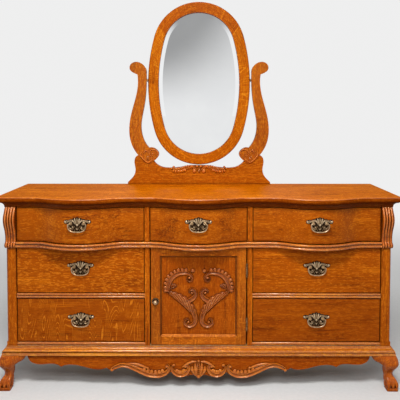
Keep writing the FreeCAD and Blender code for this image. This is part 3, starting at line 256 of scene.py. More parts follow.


def finish_oak(tree, place, tint=(1, 1, 1), **look):
    """Oak under varnish, with painted shade in its corners and, by the relief, stain and painted shade in a
    carving's hollows and wear with painted highlight on its crests.
    """
    look = {**OAK_LOOK, **look}
    flakes, ripple = look["figure"]
    grain = tree.add("Group", node_tree=OAK, Vector=place, Flakes=flakes, Ripple=ripple).outputs
    colour = tree.mix(1, grain["Color"], tint, "MULTIPLY")
    if look["relief"]:
        height = tree.raised()
        # partly old stain, partly painted shade: the carving's hollows are darker
        colour = tree.mix(tree.between(height, 0.08, 0.75, look["relief"], 0.0), colour, STAIN_AND_SHADE)
        # partly wear, partly painted highlight: the carving's crests are lighter
        colour = tree.mix(tree.between(height, 0.6, 1.0, 0.0, 0.45), colour, WORN_AND_HIGHLIGHT)
    # painted shade: ambient occlusion darkens corners, creases and recesses
    open_sky = tree.add("AmbientOcclusion", samples=6, Distance=CORNER_SHADE_REACH).outputs["AO"]
    return tree.surface(
        Base_Color=tree.mix(tree.between(open_sky, 0.35, 0.92, 0.8, 0.0), colour, STAIN_AND_SHADE),
        Roughness=tree.times(grain["Roughness"], look["polish"]),
        Normal=tree.bump(grain["Height"], 0.25),
        Specular_IOR_Level=look["gloss"],
        Specular_Tint=look["sheen"],
    )


def oak(name, axis, shift, tint=(1, 1, 1), **look):
    tree = Material(name)
    return finish_oak(tree, tree.along(axis, shift), tint, **look)


def oak_top():
    """The top: lighter on its face that looks up and darker on its moulded edge, as painted light and shade.
    """
    tree = Material("oak_top")
    up = tree.parts(tree.add("NewGeometry").outputs["Normal"])["Z"]
    # painted light and shade: faces that look up get a lighter tint, faces that look forward a darker one
    tint = tree.mix(tree.between(up, 0.15, 0.8), (0.62, 0.52, 0.6), (1.45, 1.66, 0.6))
    shine = tree.times(tree.between(up, 0.93, 0.995, 1, 0.005), tree.between(up, 0.15, 0.5))
    return finish_oak(tree, tree.along("X", (0.9, 0.2, 0.4)), tint, gloss=shine, sheen=BEADED_SHEEN)


def oak_by_place(name, axes, coordinate, centre, reach, tones=((1, 1, 1), (1, 1, 1)), bevel_shade=1.0, **look):
    """Oak of one grain and tone where a coordinate is beyond the reach from the centre, of others inside.

    The bevel shade is the tone of the faces that look sideways or down: painted shade on them."""
    tree = Material(name)
    away = tree.absolute(tree.math("SUBTRACT", tree.parts(tree.place())[coordinate], centre))
    outside = tree.math("GREATER_THAN", away, reach)
    place = tree.mix(outside, tree.along(axes[1]), tree.along(axes[0], (0.3, 0.1, 0.2)), kind="VECTOR")
    tint = tree.mix(outside, tones[1], tones[0])
    facing = tree.parts(tree.add("TexCoord").outputs["Normal"])
    # painted shade: faces that look sideways or down get a darker tint
    turned = tree.greater(tree.absolute(facing["X"]), tree.times(facing["Z"], -1))
    shade_tinted = tree.mix(1.0, tint, (bevel_shade, bevel_shade, bevel_shade), "MULTIPLY")
    return finish_oak(tree, place, tree.mix(tree.between(turned, 0.2, 0.5), tint, shade_tinted), **look)


RING_SHARE = 0.63  # the mirror frame's width over its height
RING_RADIUS = 0.3  # at which the grain's length round the ring is told


def oak_ring(name, level):
    """Oak whose grain runs round the mirror, with its seam on the left at the level of its middle."""
    tree = Material(name)
    across, back, height = tree.parts(tree.place())
    up = tree.times(tree.math("SUBTRACT", height, level), RING_SHARE)
    turn = tree.math("ARCTAN2", up, across)
    radius = tree.math("SQRT", tree.plus(tree.times(up, up), tree.math("POWER", across, 2.0)))
    # painted shade: the top of the ring is darker than the rest
    shaded_top = tree.math("GREATER_THAN", tree.times(up, 1.1), tree.absolute(across))
    tint = tree.mix(shaded_top, (1.1, 1.25, 0.9), (0.9, 0.84, 0.6))
    place = tree.add("CombineXYZ", tree.times(turn, RING_RADIUS), back, radius)
    return finish_oak(tree, place, tint, figure=(0.5, 0.25), gloss=0.15)


# ------ other materials

INNER_TONES = [(0.36, (0.3, 0.16, 0.065)), (0.5, (0.44, 0.26, 0.115)), (0.64, (0.56, 0.37, 0.18))]
PLY_TONES = [(0.3, (0.13, 0.06, 0.024)), (0.5, (0.21, 0.105, 0.043)), (0.7, (0.29, 0.16, 0.07))]
BRASS_TONES = [
    (0.26, (0.02, 0.008, 0.002)), (0.44, (0.09, 0.045, 0.015)),
    (0.64, (0.36, 0.235, 0.12)), (0.85, (0.74, 0.56, 0.36)),
]


def bare_wood(tree, tone, stops, fibres, strength, dull, gloss):
    """Wood without varnish, whose fibres give it its bumps and its dullness."""
    colour = tree.ramp(tone, stops)
    rough = tree.between(fibres, 0.3, 0.7, *dull)
    bump = tree.bump(fibres, strength)
    return tree.surface(Base_Color=colour, Roughness=rough, Normal=bump, Specular_IOR_Level=gloss)


def inner_wood():
    """Plain pale wood inside the case, dusty and unvarnished."""
    tree = Material("inner_wood")
    place = tree.along("Y")
    grain = tree.noise(place, (4, 130, 130), detail=5, roughness=0.6)
    broad = tree.noise(place, (1.5, 18, 18), (3, 0, 0), 2)
    tone = tree.weighted((grain, 0.5), (broad, 0.5))
    return bare_wood(tree, tone, INNER_TONES, grain, 0.2, (0.75, 0.6), 0.3)


def backing_board():
    """Thin dark ply: rotary-cut figure, matt."""
    tree = Material("backing_board")
    place = tree.along("Z")
    rings = tree.noise(place, (0.9, 4.5, 4.5), detail=1.5, roughness=0.4)
    figure = tree.between(tree.math("SINE", tree.times(rings, 55)), -1, 1)
    broad = tree.noise(place, (1.2, 14, 14), (2, 4, 1))
    fibres = tree.noise(place, (6, 260, 260), detail=4)
    tone = tree.weighted((figure, 0.12), (fibres, 0.48), (broad, 0.40))
    return bare_wood(tree, tone, PLY_TONES, fibres, 0.15, (0.85, 0.7), 0.25)


def antique_brass(name, relief=False, rubbed=0.0):
    """Aged brass: brown in the hollows, rubbed bright on the high spots, with fine mottling."""
    tree = Material(name)
    place = tree.place()
    mottle = tree.noise(place, (420, 420, 420), detail=4, roughness=0.65)
    worn = tree.weighted((mottle, 0.5), (tree.noise(place, (70, 70, 70), detail=2), 0.5))
    if relief:
        worn = tree.plus(tree.times(worn, 0.3), tree.between(tree.raised(), 0.40, 1.0, 0.0, 0.64))
    worn = tree.plus(worn, rubbed)
    colour = tree.ramp(worn, BRASS_TONES)
    rough = tree.between(worn, 0.3, 0.8, 0.55, 0.28)
    bump = tree.bump(mottle, 0.3, 0.0003)
    return tree.surface(Base_Color=colour, Metallic=0.85, Roughness=rough, Normal=bump)


def mirror_plate():
    """Silvered glass with the faintest clouding."""
    tree = Material("mirror_plate")
    place = tree.place()
    cloud = tree.between(tree.noise(place, (5, 5, 5), detail=4), 0.3, 0.7)
    colour = tree.mix(cloud, (0.9, 0.91, 0.92), (0.94, 0.95, 0.955))
    rough = tree.between(tree.noise(place, (160, 160, 160), detail=2), 0.6, 0.8, 0.015, 0.05)
    return tree.surface(Base_Color=colour, Metallic=1.0, Roughness=rough)


# ------ the frame's own pieces

# how strongly each drawer front shows its rays and its ripple
FRONT_FIGURES = {
    "top_left": (0.08, 0.3), "top_centre": (0.08, 0.28), "top_right": (0.05, 0.28),
    "middle_left": (0.12, 0.45), "middle_right": (0.08, 0.32),
    "bottom_left": (1.35, 0.15), "bottom_right": (0.06, 0.25),
}
ROW_TONES = {"top": (0.94, 0.95, 0.9), "middle": (1.05, 1.04, 0.9), "bottom": (0.84, 0.77, 0.6)}
BEADED = {"gloss": 0.9, "polish": 0.6, "sheen": BEADED_SHEEN}
HARP = {"gloss": 0.3, "polish": 0.8, "sheen": VARNISH_SHEEN}
POSTS = "rear_posts front_posts bay_stiles front_feet"
CARVINGS = "corbels apron_carving door_carvings mirror_base_carving"
# boards of plain oak: their nodes, material, grain's axis and shift, tint and look
BOARDS = [
    # the pale tints of the rails and the base moulding stand partly for painted highlight on their beads
    ("top_rail waist_rail drawer_rails", "oak_rails", "X", (0.5, 0.6, 0.1), (1.2, 1.42, 1.6), BEADED),
    ("base_moulding", "oak_base", "X", (0.1, 0.8, 0.6), (1.42, 1.85, 1.5), BEADED),
    # the bed moulding's dark tint is painted shade under the top's overhang
    ("top_bed_moulding", "oak_bed", "X", (0.1, 0.8, 0.6), (0.36, 0.28, 0.3), {"gloss": 0.15}),
    ("apron", "oak_apron", "X", (0.4, 0.1, 0.3), (0.88, 0.72, 0.6), {}),
    ("mirror_base", "oak_mirror_base", "X", (0.2, 0.3, 0.9), (0.94, 1.02, 0.8), {}),
    (POSTS, "oak_uprights", "Z", (0.3, 0.3, 0.8), (1.05, 1.05, 1), {}),
    ("mirror_uprights", "oak_harp", "Z", (0.7, 0.3, 0.2), (0.95, 1.08, 0.8), HARP),
    ("door_panel", "oak_panel", "Z", (0.7, 0.1, 0.2), (0.9, 0.8, 0.8), {"figure": (0.3, 0.25)}),
    (CARVINGS, "oak_corbels", "Z", (0.2, 0.5, 0.1), (1, 1, 1), {}),
]
# the door's stiles and then its rails
DOOR_TONES = ((0.87, 0.84, 0.8), (1.22, 1.26, 1.2))
SIDE_RAIL = 90 * MM


def put_on(names, made):
    for name in names.split():
        slots = NODES[name].data.materials
        for index in range(len(slots)):
            slots[index] = made


def dress_nodes():
    for names, name, axis, shift, tint, look in BOARDS:
        put_on(names, oak(name, axis, shift, tint, **look))
    put_on("top_board", oak_top())
    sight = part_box("door_panel")[1].x
    look = {"tones": DOOR_TONES, "bevel_shade": 0.48, "figure": (0.5, 0.35), "gloss": 0.45}
    put_on("door_frame", oak_by_place("oak_door_frame", "ZX", "X", 0.0, sight, **look))
    low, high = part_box("side_frames")
    reach = (high.z - low.z) / 2 - SIDE_RAIL
    put_on("side_frames", oak_by_place("oak_side_frames", "YZ", "Z", (low.z + high.z) / 2, reach))
    low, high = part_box("mirror_frame")
    put_on("mirror_frame", oak_ring("oak_mirror_frame", (low.z + high.z) / 2))
    put_on("back_panel mirror_backboard", backing_board())
    put_on("mirror_glass", mirror_plate())
    pale = inner_wood()
    put_on("bottom_panel partitions drawer_runners", pale)
    brass = antique_brass("antique_brass")
    put_on("hinge_case_leaves hinge_door_leaves door_catch door_knob mirror_pivots", brass)
    for index, name in enumerate(DRAWERS):
        # each front is cut from another place in the wood
        shift = (0.37 * index, 0.21 * index, 0.13 * index)
        tone = ROW_TONES[name.split("_")[0]]
        front = oak("oak_front_" + name, "X", shift, tone, figure=FRONT_FIGURES[name])
        put_on("drawer_front_" + name, front)
        put_on("drawer_box_" + name, pale)
        put_on("pull_plate_" + name + " pull_bail_" + name, brass)


def soften(names, width):
    """Rounds a node's hard edges a little, as sanding does."""
    for name in names.split():
        piece = NODES[name]
        weld = piece.modifiers.new("weld", "WELD")
        weld.merge_threshold = 0.01 * MM
        bevel = piece.modifiers.new("soft_edges", "BEVEL")
        bevel.width = width * MM
        bevel.segments = 2
        bevel.limit_method = "ANGLE"
        bevel.angle_limit = math.radians(32)
        bevel.harden_normals = True


# ------ modelled forms


def held(value):
    """The value, held between 0 and 1."""
    return min(1.0, max(0.0, value))


def in_mm(box):
    return [corner / MM for corner in box]


def smooth(stations, step):
    """A Catmull-Rom curve through stations, sampled about every step in their first two values."""
    stations = [Vector(station) for station in stations]
    ends = [2 * stations[0] - stations[1], *stations, 2 * stations[-1] - stations[-2]]
    line = []
    for before, start, end, after in zip(ends, ends[1:], ends[2:], ends[3:]):
        count = max(1, round((end - start).to_2d().length / step))
        for index in range(count):
            part = index / count
            bend = (2 * before - 5 * start + 4 * end - after) * part * part
            bend += (3 * start - before - 3 * end + after) * part**3
            line.append(0.5 * (2 * start + (end - before) * part + bend))
    line.append(stations[-1])
    return line


def heading(line, index):
    """Which way a line runs at one of its points."""
    return (line[min(index + 1, len(line) - 1)] - line[max(index - 1, 0)]).to_2d().normalized()


def circle(radius, count):
    for index in range(count):
        angle = 2 * math.pi * index / count
        yield radius * math.cos(angle), radius * math.sin(angle)


def new_object(name, data):
    made = bpy.data.objects.new(name, data)
    bpy.context.scene.collection.objects.link(made)
    return made


def add_piece(name, mesh, made, body, slot, *replaced):
    """Puts a mesh in the scene as a piece that rides on a body and stands for CAD nodes."""
    piece = new_object(name, mesh)
    if not mesh.materials:
        mesh.materials.append(made)
    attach(piece, body)
    if replaced:
        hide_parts(*replaced)
    return piece


class Form:
    """Closed shells gathered into one mesh. Places are millimetres in the object's frame."""

    def __init__(self):
        self.points = []
        self.relief = []
        self.faces = []

    def shell(self, rings, relief=None):
        """Joins closed rings of points one after another and closes both ends."""
        first = len(self.points)
        size = len(rings[0])
        for index, ring in enumerate(rings):
            self.points += [Vector(point) for point in ring]
            self.relief += relief[index] if relief else [1.0] * size
        last = len(self.points) - size
        for start in range(first, last, size):
            for index in range(size):
                after = (index + 1) % size
                self.faces.append((start + index, start + after, start + size + after, start + size + index))
        self.faces += [tuple(range(first, first + size)), tuple(range(last, last + size))]

    def mirrored(self):
        """Adds the same again on the other side of the middle."""
        first = len(self.points)
        self.points += [Vector((-x, y, z)) for x, y, z in self.points]
        self.relief += self.relief[:]
        self.faces += [tuple(index + first for index in face[::-1]) for face in self.faces]

    def mesh(self, name, crease=50):
        """The mesh in metres, smooth but for edges sharper than the crease."""
        made = bpy.data.meshes.new(name)
        made.from_pydata([point * MM for point in self.points], [], self.faces)
        made.attributes.new("relief", "FLOAT", "POINT").data.foreach_set("value", self.relief)
        shape = bmesh.new()
        shape.from_mesh(made)
        bmesh.ops.recalc_face_normals(shape, faces=shape.faces)
        shape.to_mesh(made)
        shape.free()
        made.shade_smooth()
        made.set_sharp_from_angle(angle=math.radians(crease))
        return made

    def piece(self, name, made, body, slot, *replaced, crease=50):
        add_piece(name, self.mesh(name, crease), made, body, slot, *replaced)


# ------ raised work

SUNK = 0.4  # how far raised work reaches into what carries it
# a knob's rings above its foot: shares of its radius and of its height
DOME = [(1, 0.25), (0.9, 0.62), (0.66, 0.86), (0.35, 0.97), (0.1, 1)]


# a section tells how far out and how high a ribbon's point lies, by its side, from -1 to 1, and by
# the run along the ribbon


def rounded(side, run):
    """A plain round section."""
    return side, 0.15 + 0.85 * math.sqrt(max(0.0, 1 - side * side))


def strap(side, run):
    """A band with a rounded rim along each edge and a hollow between them."""
    rim = math.exp(-(((abs(side) - 0.66) / 0.24) ** 2))
    edge = 0.25 + 0.75 * math.sqrt(max(0.0, 1 - side**6))
    return side, (0.5 + 0.5 * rim) * edge


def wave(turns):
    return abs(math.sin(math.pi * turns))


def leafy(pitch, lean):
    """A leaf with a sunk vein, and ribs that run slantwise out to a lobed edge."""

    def section(side, run):
        rib = wave(run / pitch - lean * abs(side)) ** 0.7
        lobe = wave(run / pitch - lean)
        body = math.sqrt(max(0.0, 1 - 0.9 * side * side))
        vein = 1 - 0.5 * math.exp(-((side / 0.13) ** 2))
        return side * (0.76 + 0.24 * lobe), 0.08 + 0.92 * body * vein * (0.35 + 0.65 * rib)

    return section


def feathered(pitch, lean):
    """Half a leaf: a rim along its right edge, and feathers that lean back to its lobed left one."""

    def section(side, run):
        share = (1 + side) / 2
        rib = wave(run / pitch + lean * share) ** 0.7
        lobe = wave(run / pitch + lean)
        reach = side if side < 0 else side * (0.70 + 0.30 * lobe)
        body = math.sqrt(max(0.0, 1 - 0.95 * side**4))
        rim = math.exp(-(((share - 0.13) / 0.10) ** 2))
        return reach, 0.08 + 0.92 * body * max(rim, 0.42 + 0.5 * rib * min(1.0, 3 * share))

    return section


class Carving(Form):
    """Raised forms on a wall that faces the front. Places are (x, z), and heights stand out from the wall.

    Ribbons and domes stand on the base, which is a height too."""

    def __init__(self, wall, deepest, centre=(0.0, 0.0), base=0.0):
        super().__init__()
        self.wall = wall
        self.deepest = deepest
        self.centre = centre
        self.base = base

    def raise_rings(self, rings, shade=None):
        """Rings of (x, z, height). Their colour follows the height, or the shade that is given."""
        middle, foot = self.centre
        placed = []
        relief = []
        for ring in rings:
            placed.append([(middle + x, self.wall - height, foot + z) for x, z, height in ring])
            relief.append([held(height / self.deepest) if shade is None else shade for _, _, height in ring])
        self.shell(placed, relief)

    def ribbon(self, stations, section, height, step=1.2, across=12):
        """A band along stations of (x, z, half width). Its height falls where it narrows."""
        line = smooth(stations, step)
        widest = max(here.z for here in line)
        foot = self.base - SUNK
        run = 0.0
        rings = []
        for index, here in enumerate(line):
            along = heading(line, index)
            run += (here - line[max(index - 1, 0)]).to_2d().length
            rise = height * (0.45 + 0.55 * here.z / widest)
            ring = []
            for part in range(across + 1):
                reach, lift = section(2 * part / across - 1, run)
                side = reach * here.z
                ring.append((here.x - along.y * side, here.y + along.x * side, self.base + rise * lift))
            rings.append([(*ring[0][:2], foot), *ring, (*ring[-1][:2], foot)])
        self.raise_rings(rings)

    def dome(self, x, z, radius, height, long=1.0, turn=0.0, shade=None):
        """A rounded knob, longer one way where it is a lobe or a petal."""
        cos, sin = math.cos(turn), math.sin(turn)
        rings = []
        for share, level in [(1, -SUNK)] + [(share, height * rise) for share, rise in DOME]:
            level += self.base
            points = [(long * a, b) for a, b in circle(radius * share, 14)]
            rings.append([(x + a * cos - b * sin, z + a * sin + b * cos, level) for a, b in points])
        self.raise_rings(rings, shade)

    def domes(self, *knobs):
        for knob in knobs:
            self.dome(*knob)

    def lobes(self, stations, count, radius, height, start, end, side=1):
        """Knobs in a row just outside one edge of a ribbon, between two shares of its length."""
        line = smooth(stations, 1.0)
        for index in range(count):
            share = start + (end - start) * index / (count - 1)
            place = min(int(share * (len(line) - 1)), len(line) - 2)
            here = line[place]
            along = (line[place + 1] - here).to_2d().normalized()
            reach = side * (here.z + 0.1 * radius)
            turn = math.atan2(along.x, -along.y)
            self.dome(here.x - along.y * reach, here.y + along.x * reach, radius, height, 1.35, turn)

    def turned(self, x, z, profile, count=20, shade=None):
        """A form turned about a line out of the wall, from (radius, height) pairs."""
        rings = [[(x + a, z + b, height) for a, b in circle(radius, count)] for radius, height in profile]
        self.raise_rings(rings, shade)

    def wire(self, stations, step, count, shade):
        """A round wire along stations of (x, z, radius), half of it in front of the wall."""
        line = smooth(stations, step)
        rings = []
        for index, here in enumerate(line):
            along = heading(line, index)
            rings.append([(here.x - along.y * a, here.y + along.x * a, b) for a, b in circle(here.z, count)])
        self.raise_rings(rings, shade)


# the left half of the door's carving: x from the middle, z and half width
DOOR_CREST = [
    (-129, 408, 7), (-127, 436, 11), (-114, 466, 12), (-90, 485, 11), (-62, 491, 9.5), (-40, 486, 8),
    (-27, 473, 7), (-29, 459, 6), (-40, 454, 5), (-48, 462, 4), (-46, 471, 3),
]
DOOR_LEAF = [
    (-131, 411, 4), (-114, 403, 11), (-98, 395, 15), (-79, 384, 18), (-61, 371, 20), (-45, 356, 20),
    (-31, 339, 18), (-20, 320, 14), (-15, 303, 8),
]
DOOR_TAIL = [
    (-30, 338, 9), (-20, 320, 11.5), (-14, 303, 11.5), (-14, 286, 11), (-22, 272, 10.5), (-35, 266, 10),
    (-48, 268, 9), (-58, 278, 8), (-57, 290, 6.5), (-47, 295, 5), (-40, 289, 3.5),
]
DOOR_CURL = [
    (-66, 369, 6), (-50, 369, 10.5), (-33, 376, 12), (-19, 387, 11), (-13, 401, 9.5), (-17, 415, 8.5),
    (-28, 421, 7.5), (-38, 415, 6), (-39, 405, 4.5),
]
DOOR_FROND = [(-124, 422, 5), (-112, 431, 11), (-101, 435, 10), (-90, 434, 4)]


def door_carvings(made):
    work = Carving(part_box("door_panel")[0].y / MM, 10.5)
    work.ribbon(DOOR_CREST, strap, 9.5)
    work.lobes(DOOR_CREST, 10, 8, 8, 0.03, 0.62)
    work.ribbon(DOOR_FROND, leafy(8, 0.9), 8, 0.9)
    work.ribbon(DOOR_LEAF, feathered(22, 4), 10.5, 0.9, 20)
    work.ribbon(DOOR_TAIL, strap, 10)
    work.ribbon(DOOR_CURL, strap, 9.5)
    work.domes((-24, 499, 9, 8), (-38, 469, 6.5, 9), (-43, 281, 6, 9), (-28, 406, 6, 9))
    work.mirrored()
    work.piece("door_scrolls", made, "door", "golden_oak", "door_carvings")


# the right half of the apron's carving
APRON_LEAF = [
    (366, 85, 7), (347, 96, 9.5), (320, 104, 10.5), (292, 99, 10.5), (264, 87, 10.5), (234, 73, 11),
    (202, 62, 11.5), (168, 60, 11.5), (142, 68, 10.5), (127, 83, 8.5), (123, 98, 6.5), (131, 105, 4.5),
]
APRON_BRANCH = [(305, 110, 3), (280, 110, 5.5), (255, 106, 6.5), (234, 99, 6.5), (218, 93, 5)]
APRON_VEIN = [(292, 105, 2.5), (266, 98, 5), (244, 88, 6.5), (224, 79, 6), (206, 74, 3)]
APRON_SCROLL = [
    (112, 101, 5), (110, 84, 8.5), (97, 69, 10.5), (78, 62, 11), (59, 66, 11), (46, 79, 10.5), (41, 94, 9),
    (50, 104, 6), (60, 100, 4),
]
APRON_ARC = [(10, 119, 4), (28, 118, 6), (48, 109, 6), (67, 96, 4)]
PALMETTE = ((13, 117, 8), (26, 104, 8))


def apron_carving(made):
    work = Carving(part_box("apron")[0].y / MM, 8.6)
    work.ribbon(APRON_LEAF, strap, 8.4, 1.1, 14)
    work.lobes(APRON_LEAF, 6, 8.6, 7.2, 0.5, 0.82, -1)
    work.ribbon(APRON_BRANCH, rounded, 7.4)
    work.ribbon(APRON_VEIN, rounded, 6.4)
    work.ribbon(APRON_SCROLL, strap, 8.4)
    work.lobes(APRON_SCROLL, 5, 7, 7, 0.26, 0.66, -1)
    work.ribbon(APRON_ARC, rounded, 8)
    work.domes((133, 97, 6.5, 8.4), (363, 83, 7, 8), (213, 92, 6, 7.6))
    work.domes((104, 104, 6.5, 8.2), (55, 97, 6, 8.2))
    for x, z, half in PALMETTE:
        petal = [(x / 4, 54, 2.5), (0.7 * x, 68, 0.7 * half), (x, z / 2 + 32, half)]
        petal.append((1.05 * x, z - 3, half / 2))
        work.ribbon(petal, rounded, 7.4)
    work.mirrored()
    work.ribbon([(0, 52, 3), (0, 70, 7), (0, 95, 9), (0, 120, 4)], leafy(9, 0.9), 8.6, 0.9)
    work.domes((0, 55, 8, 8), (0, 122, 5.5, 8))
    work.piece("apron_scrolls", made, "root", "golden_oak", "apron_carving")


# the right half of the carving under the mirror, z above the top board
BASE_LEAF = [
    (128, 84, 3), (123, 75, 7), (106, 71, 9), (86, 75, 10), (64, 81, 10.5), (43, 84.5, 9.5), (27, 81, 8.5),
    (17, 71, 7), (20, 60, 5.5), (31, 60, 4),
]


def mirror_base_carving(made):
    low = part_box("mirror_base")[0]
    work = Carving(low.y / MM, 8.6, (0.0, low.z / MM))
    work.ribbon(BASE_LEAF, leafy(11, 0.9), 8, 0.9, 16)
    work.lobes(BASE_LEAF, 7, 5.6, 6.4, 0.1, 0.46)
    work.dome(23, 65, 8, 8.6, 1.4, math.radians(80))
    work.domes((122, 84, 5.5, 7.6), (132, 77, 4.5, 6.6), (9, 88, 6.4, 7.6), (34, 88, 6.4, 7.6))
    work.mirrored()
    work.ribbon([(0, 56, 3), (0, 68, 6.5), (0, 84, 4)], leafy(8, 0.8), 7, 0.9)
    work.piece("mirror_base_scrolls", made, "root", "golden_oak", "mirror_base_carving")


# the lines cut on the foot of each upright, on the right
LOBE_LINES = [
    [(272, 973, 2), (282, 958, 3.2), (271, 938, 3.6), (250, 921, 3.6), (240, 922, 3), (224, 934, 3),
     (207, 946, 2.4)],
    [(204, 944, 2), (197, 958, 2.8), (203, 974, 3), (219, 982, 3), (235, 975, 2.8), (239, 960, 2.5),
     (229, 950, 2.2), (219, 956, 2)],
    [(240, 962, 2), (247, 972, 2.8), (258, 977, 2.8), (266, 969, 2.4), (260, 961, 2)],
]


def upright_carving(made):
    work = Carving(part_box("mirror_uprights")[0].y / MM, 4.5)
    for line in LOBE_LINES:
        work.ribbon(line, rounded, 4, 1, 8)
    work.ribbon([(243, 930, 2), (249, 940, 5), (250, 952, 2)], leafy(6, 0.8), 4, 0.9)
    work.domes((222, 961, 4, 4.2), (258, 970, 3, 3.8))
    work.mirrored()
    work.piece("upright_scrolls", made, "root", "golden_oak")


# ------ bowed drawer fronts

BOW_HALF = 200  # from a bow's apex to where it runs out
BOW_DEPTH = 58
LEAD_RADIUS = 142  # of the hollow that leads into the bow, at the fronts' face
BOW_RADIUS = 231.8
FRONT_STEP = 6  # between the sections that a front is drawn through
EASE = 1.5  # how far its edges are eased
CORNER = 0.3 * EASE


def bow_line(x, deeper=0.0):
    """How far the bowed face, or a line deeper by so much, lies behind the face's apex."""
    across = abs(x)
    radius, lead = BOW_RADIUS - deeper, LEAD_RADIUS + deeper
    meet = BOW_HALF * radius / (radius + lead)
    if across < meet:
        return BOW_RADIUS - math.sqrt(radius**2 - across**2)
    if across < BOW_HALF:
        return BOW_DEPTH - LEAD_RADIUS + math.sqrt(lead**2 - (BOW_HALF - across) ** 2)
    return BOW_DEPTH + deeper


def bowed_front(name):
    """A top drawer's front: sawn to the bow, with its edges eased."""
    low, high = in_mm(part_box("drawer_front_" + name))
    centre = (low.x + high.x) / 2
    half = (high.x - low.x) / 2
    thick = high.y - low.y - BOW_DEPTH
    count = round(2 * half / FRONT_STEP)
    # places from the centre, and how far the section is drawn in there
    places = [((half - EASE) * (2 * index / count - 1), 0.0) for index in range(count + 1)]
    places = [(-half, EASE), (CORNER - half, CORNER), *places, (half - CORNER, CORNER), (half, EASE)]
    rings = []
    for x, inset in places:
        face = low.y + bow_line(x) + inset
        back = low.y + bow_line(x, thick)
        foot, top = low.z + inset, high.z - inset
        section = [
            (face, foot + EASE), (face, top - EASE), (face + CORNER, top - CORNER), (face + EASE, top),
            (back, top), (back, foot), (face + EASE, foot), (face + CORNER, foot + CORNER),
        ]
        rings.append([(centre + x, y, z) for y, z in section])
    work = Form()
    work.shell(rings)
    made = NODES["drawer_front_" + name].data.materials[0]
    work.piece("front_" + name, made, "drawer_" + name, "golden_oak", "drawer_front_" + name, crease=35)


# ------ hardware

# the right half of a pull's plate: x from the middle, z from the bail's pins
PLATE_EDGE = [
    (0, 26), (4.8, 25), (8, 21.4), (13, 23), (17, 21.2), (19.6, 17.6), (25, 18.6), (30, 16.6), (34, 12.8),
    (40, 14.6), (48, 14), (54, 10), (55.6, 5), (53, 0.6), (48, -1.6), (43, -1.2), (39.4, -3.6), (37.4, -8),
    (35.4, -14), (31.4, -21.4), (25, -27.4), (17, -30.9), (8, -32.5), (0, -33),
]
PLATE_THICK = 2.2
PLATE_EASE = 0.7
PLATE_WORK = 2.6  # how high its ornament stands on it
WING = [
    (7, -3, 1.8), (12, 7, 3), (21, 12.6, 3.6), (31, 11.5, 3.4), (40, 7.2, 3), (46.5, 2.6, 2.6),
    (52, 4.4, 2),
]
LOWER_SCROLL = [
    (36, -4, 1.4), (33, -13, 2.2), (25.5, -20, 2.4), (16.5, -20, 2.2), (13.5, -13.5, 1.8),
    (18.5, -10.4, 1.3),
]
CREST_PETALS = ((9.5, 20.5, 3.2), (17.5, 15.5, 2.6))
LATTICE_STARTS = (-33, -23, -13, -3, 7, 17)
LATTICE_RUN = (14, -22)
LATTICE_TOP = -7
PLATE_RIM = [
    (37.8, -5, 1.2), (35.6, -11, 1.3), (31.6, -18.6, 1.3), (25, -25, 1.3), (15.6, -29.4, 1.3),
    (0, -31.2, 1.3),
]
POST_ACROSS = 27
POST_STAND = 12
NUT = 4  # how far a pull's nut stands behind its front
# the right half of the bail: x, z and the wire's radius
BAIL = [
    (21.5, 0, 1.7), (29, 0, 1.7), (32.6, -0.6, 2.4), (35.9, -3.4, 2.4), (36.7, -8, 2.2), (36, -14, 2.2),
    (32.8, -21.5, 2.3), (26.5, -27.8, 2.4), (18, -31.5, 2.5), (11.6, -32.8, 2.5), (10, -33, 3.3),
    (8.4, -33.1, 2.6), (0, -33.3, 3),
]


def plate_body(work):
    """The plate itself: its lobed outline with an eased rim."""
    outline = smooth(PLATE_EDGE, 1.4)
    outline += [Vector((-x, z)) for x, z in outline[-2:0:-1]]
    rings = []
    for level, inset in ((0.0, 0.0), (PLATE_THICK - PLATE_EASE, 0.0), (PLATE_THICK, PLATE_EASE)):
        ring = []
        for index, here in enumerate(outline):
            along = (outline[(index + 1) % len(outline)] - outline[index - 1]).normalized()
            ring.append((here.x + along.y * inset, here.y - along.x * inset, level))
        rings.append(ring)
    work.raise_rings(rings, 0.2)


def post(work, x, grip):
    """A turned post on a rosette, with its bolt through the front to a nut."""
    head = [(7, PLATE_THICK - SUNK), (7, 3.2), (5.6, 4.3), (3.6, 4.8), (3.1, 6.6), (3.8, 8.4), (4.6, 10.4)]
    head += [(4.9, POST_STAND), (4.5, POST_STAND + 2), (3, POST_STAND + 3.7), (0.8, POST_STAND + 4.4)]
    work.turned(x, 0, head, shade=0.8)
    for a, b in circle(6.6, 9):
        work.dome(x + a, b, 1.9, 1.5, shade=0.7)
    work.turned(x, 0, [(2, -grip - NUT - 1), (2, 0.5)], shade=0.4)
    work.turned(x, 0, [(3.6, -grip - NUT), (4.4, -grip - 3.4), (4.4, -grip - 0.5), (3.9, -grip)], 6, 0.5)


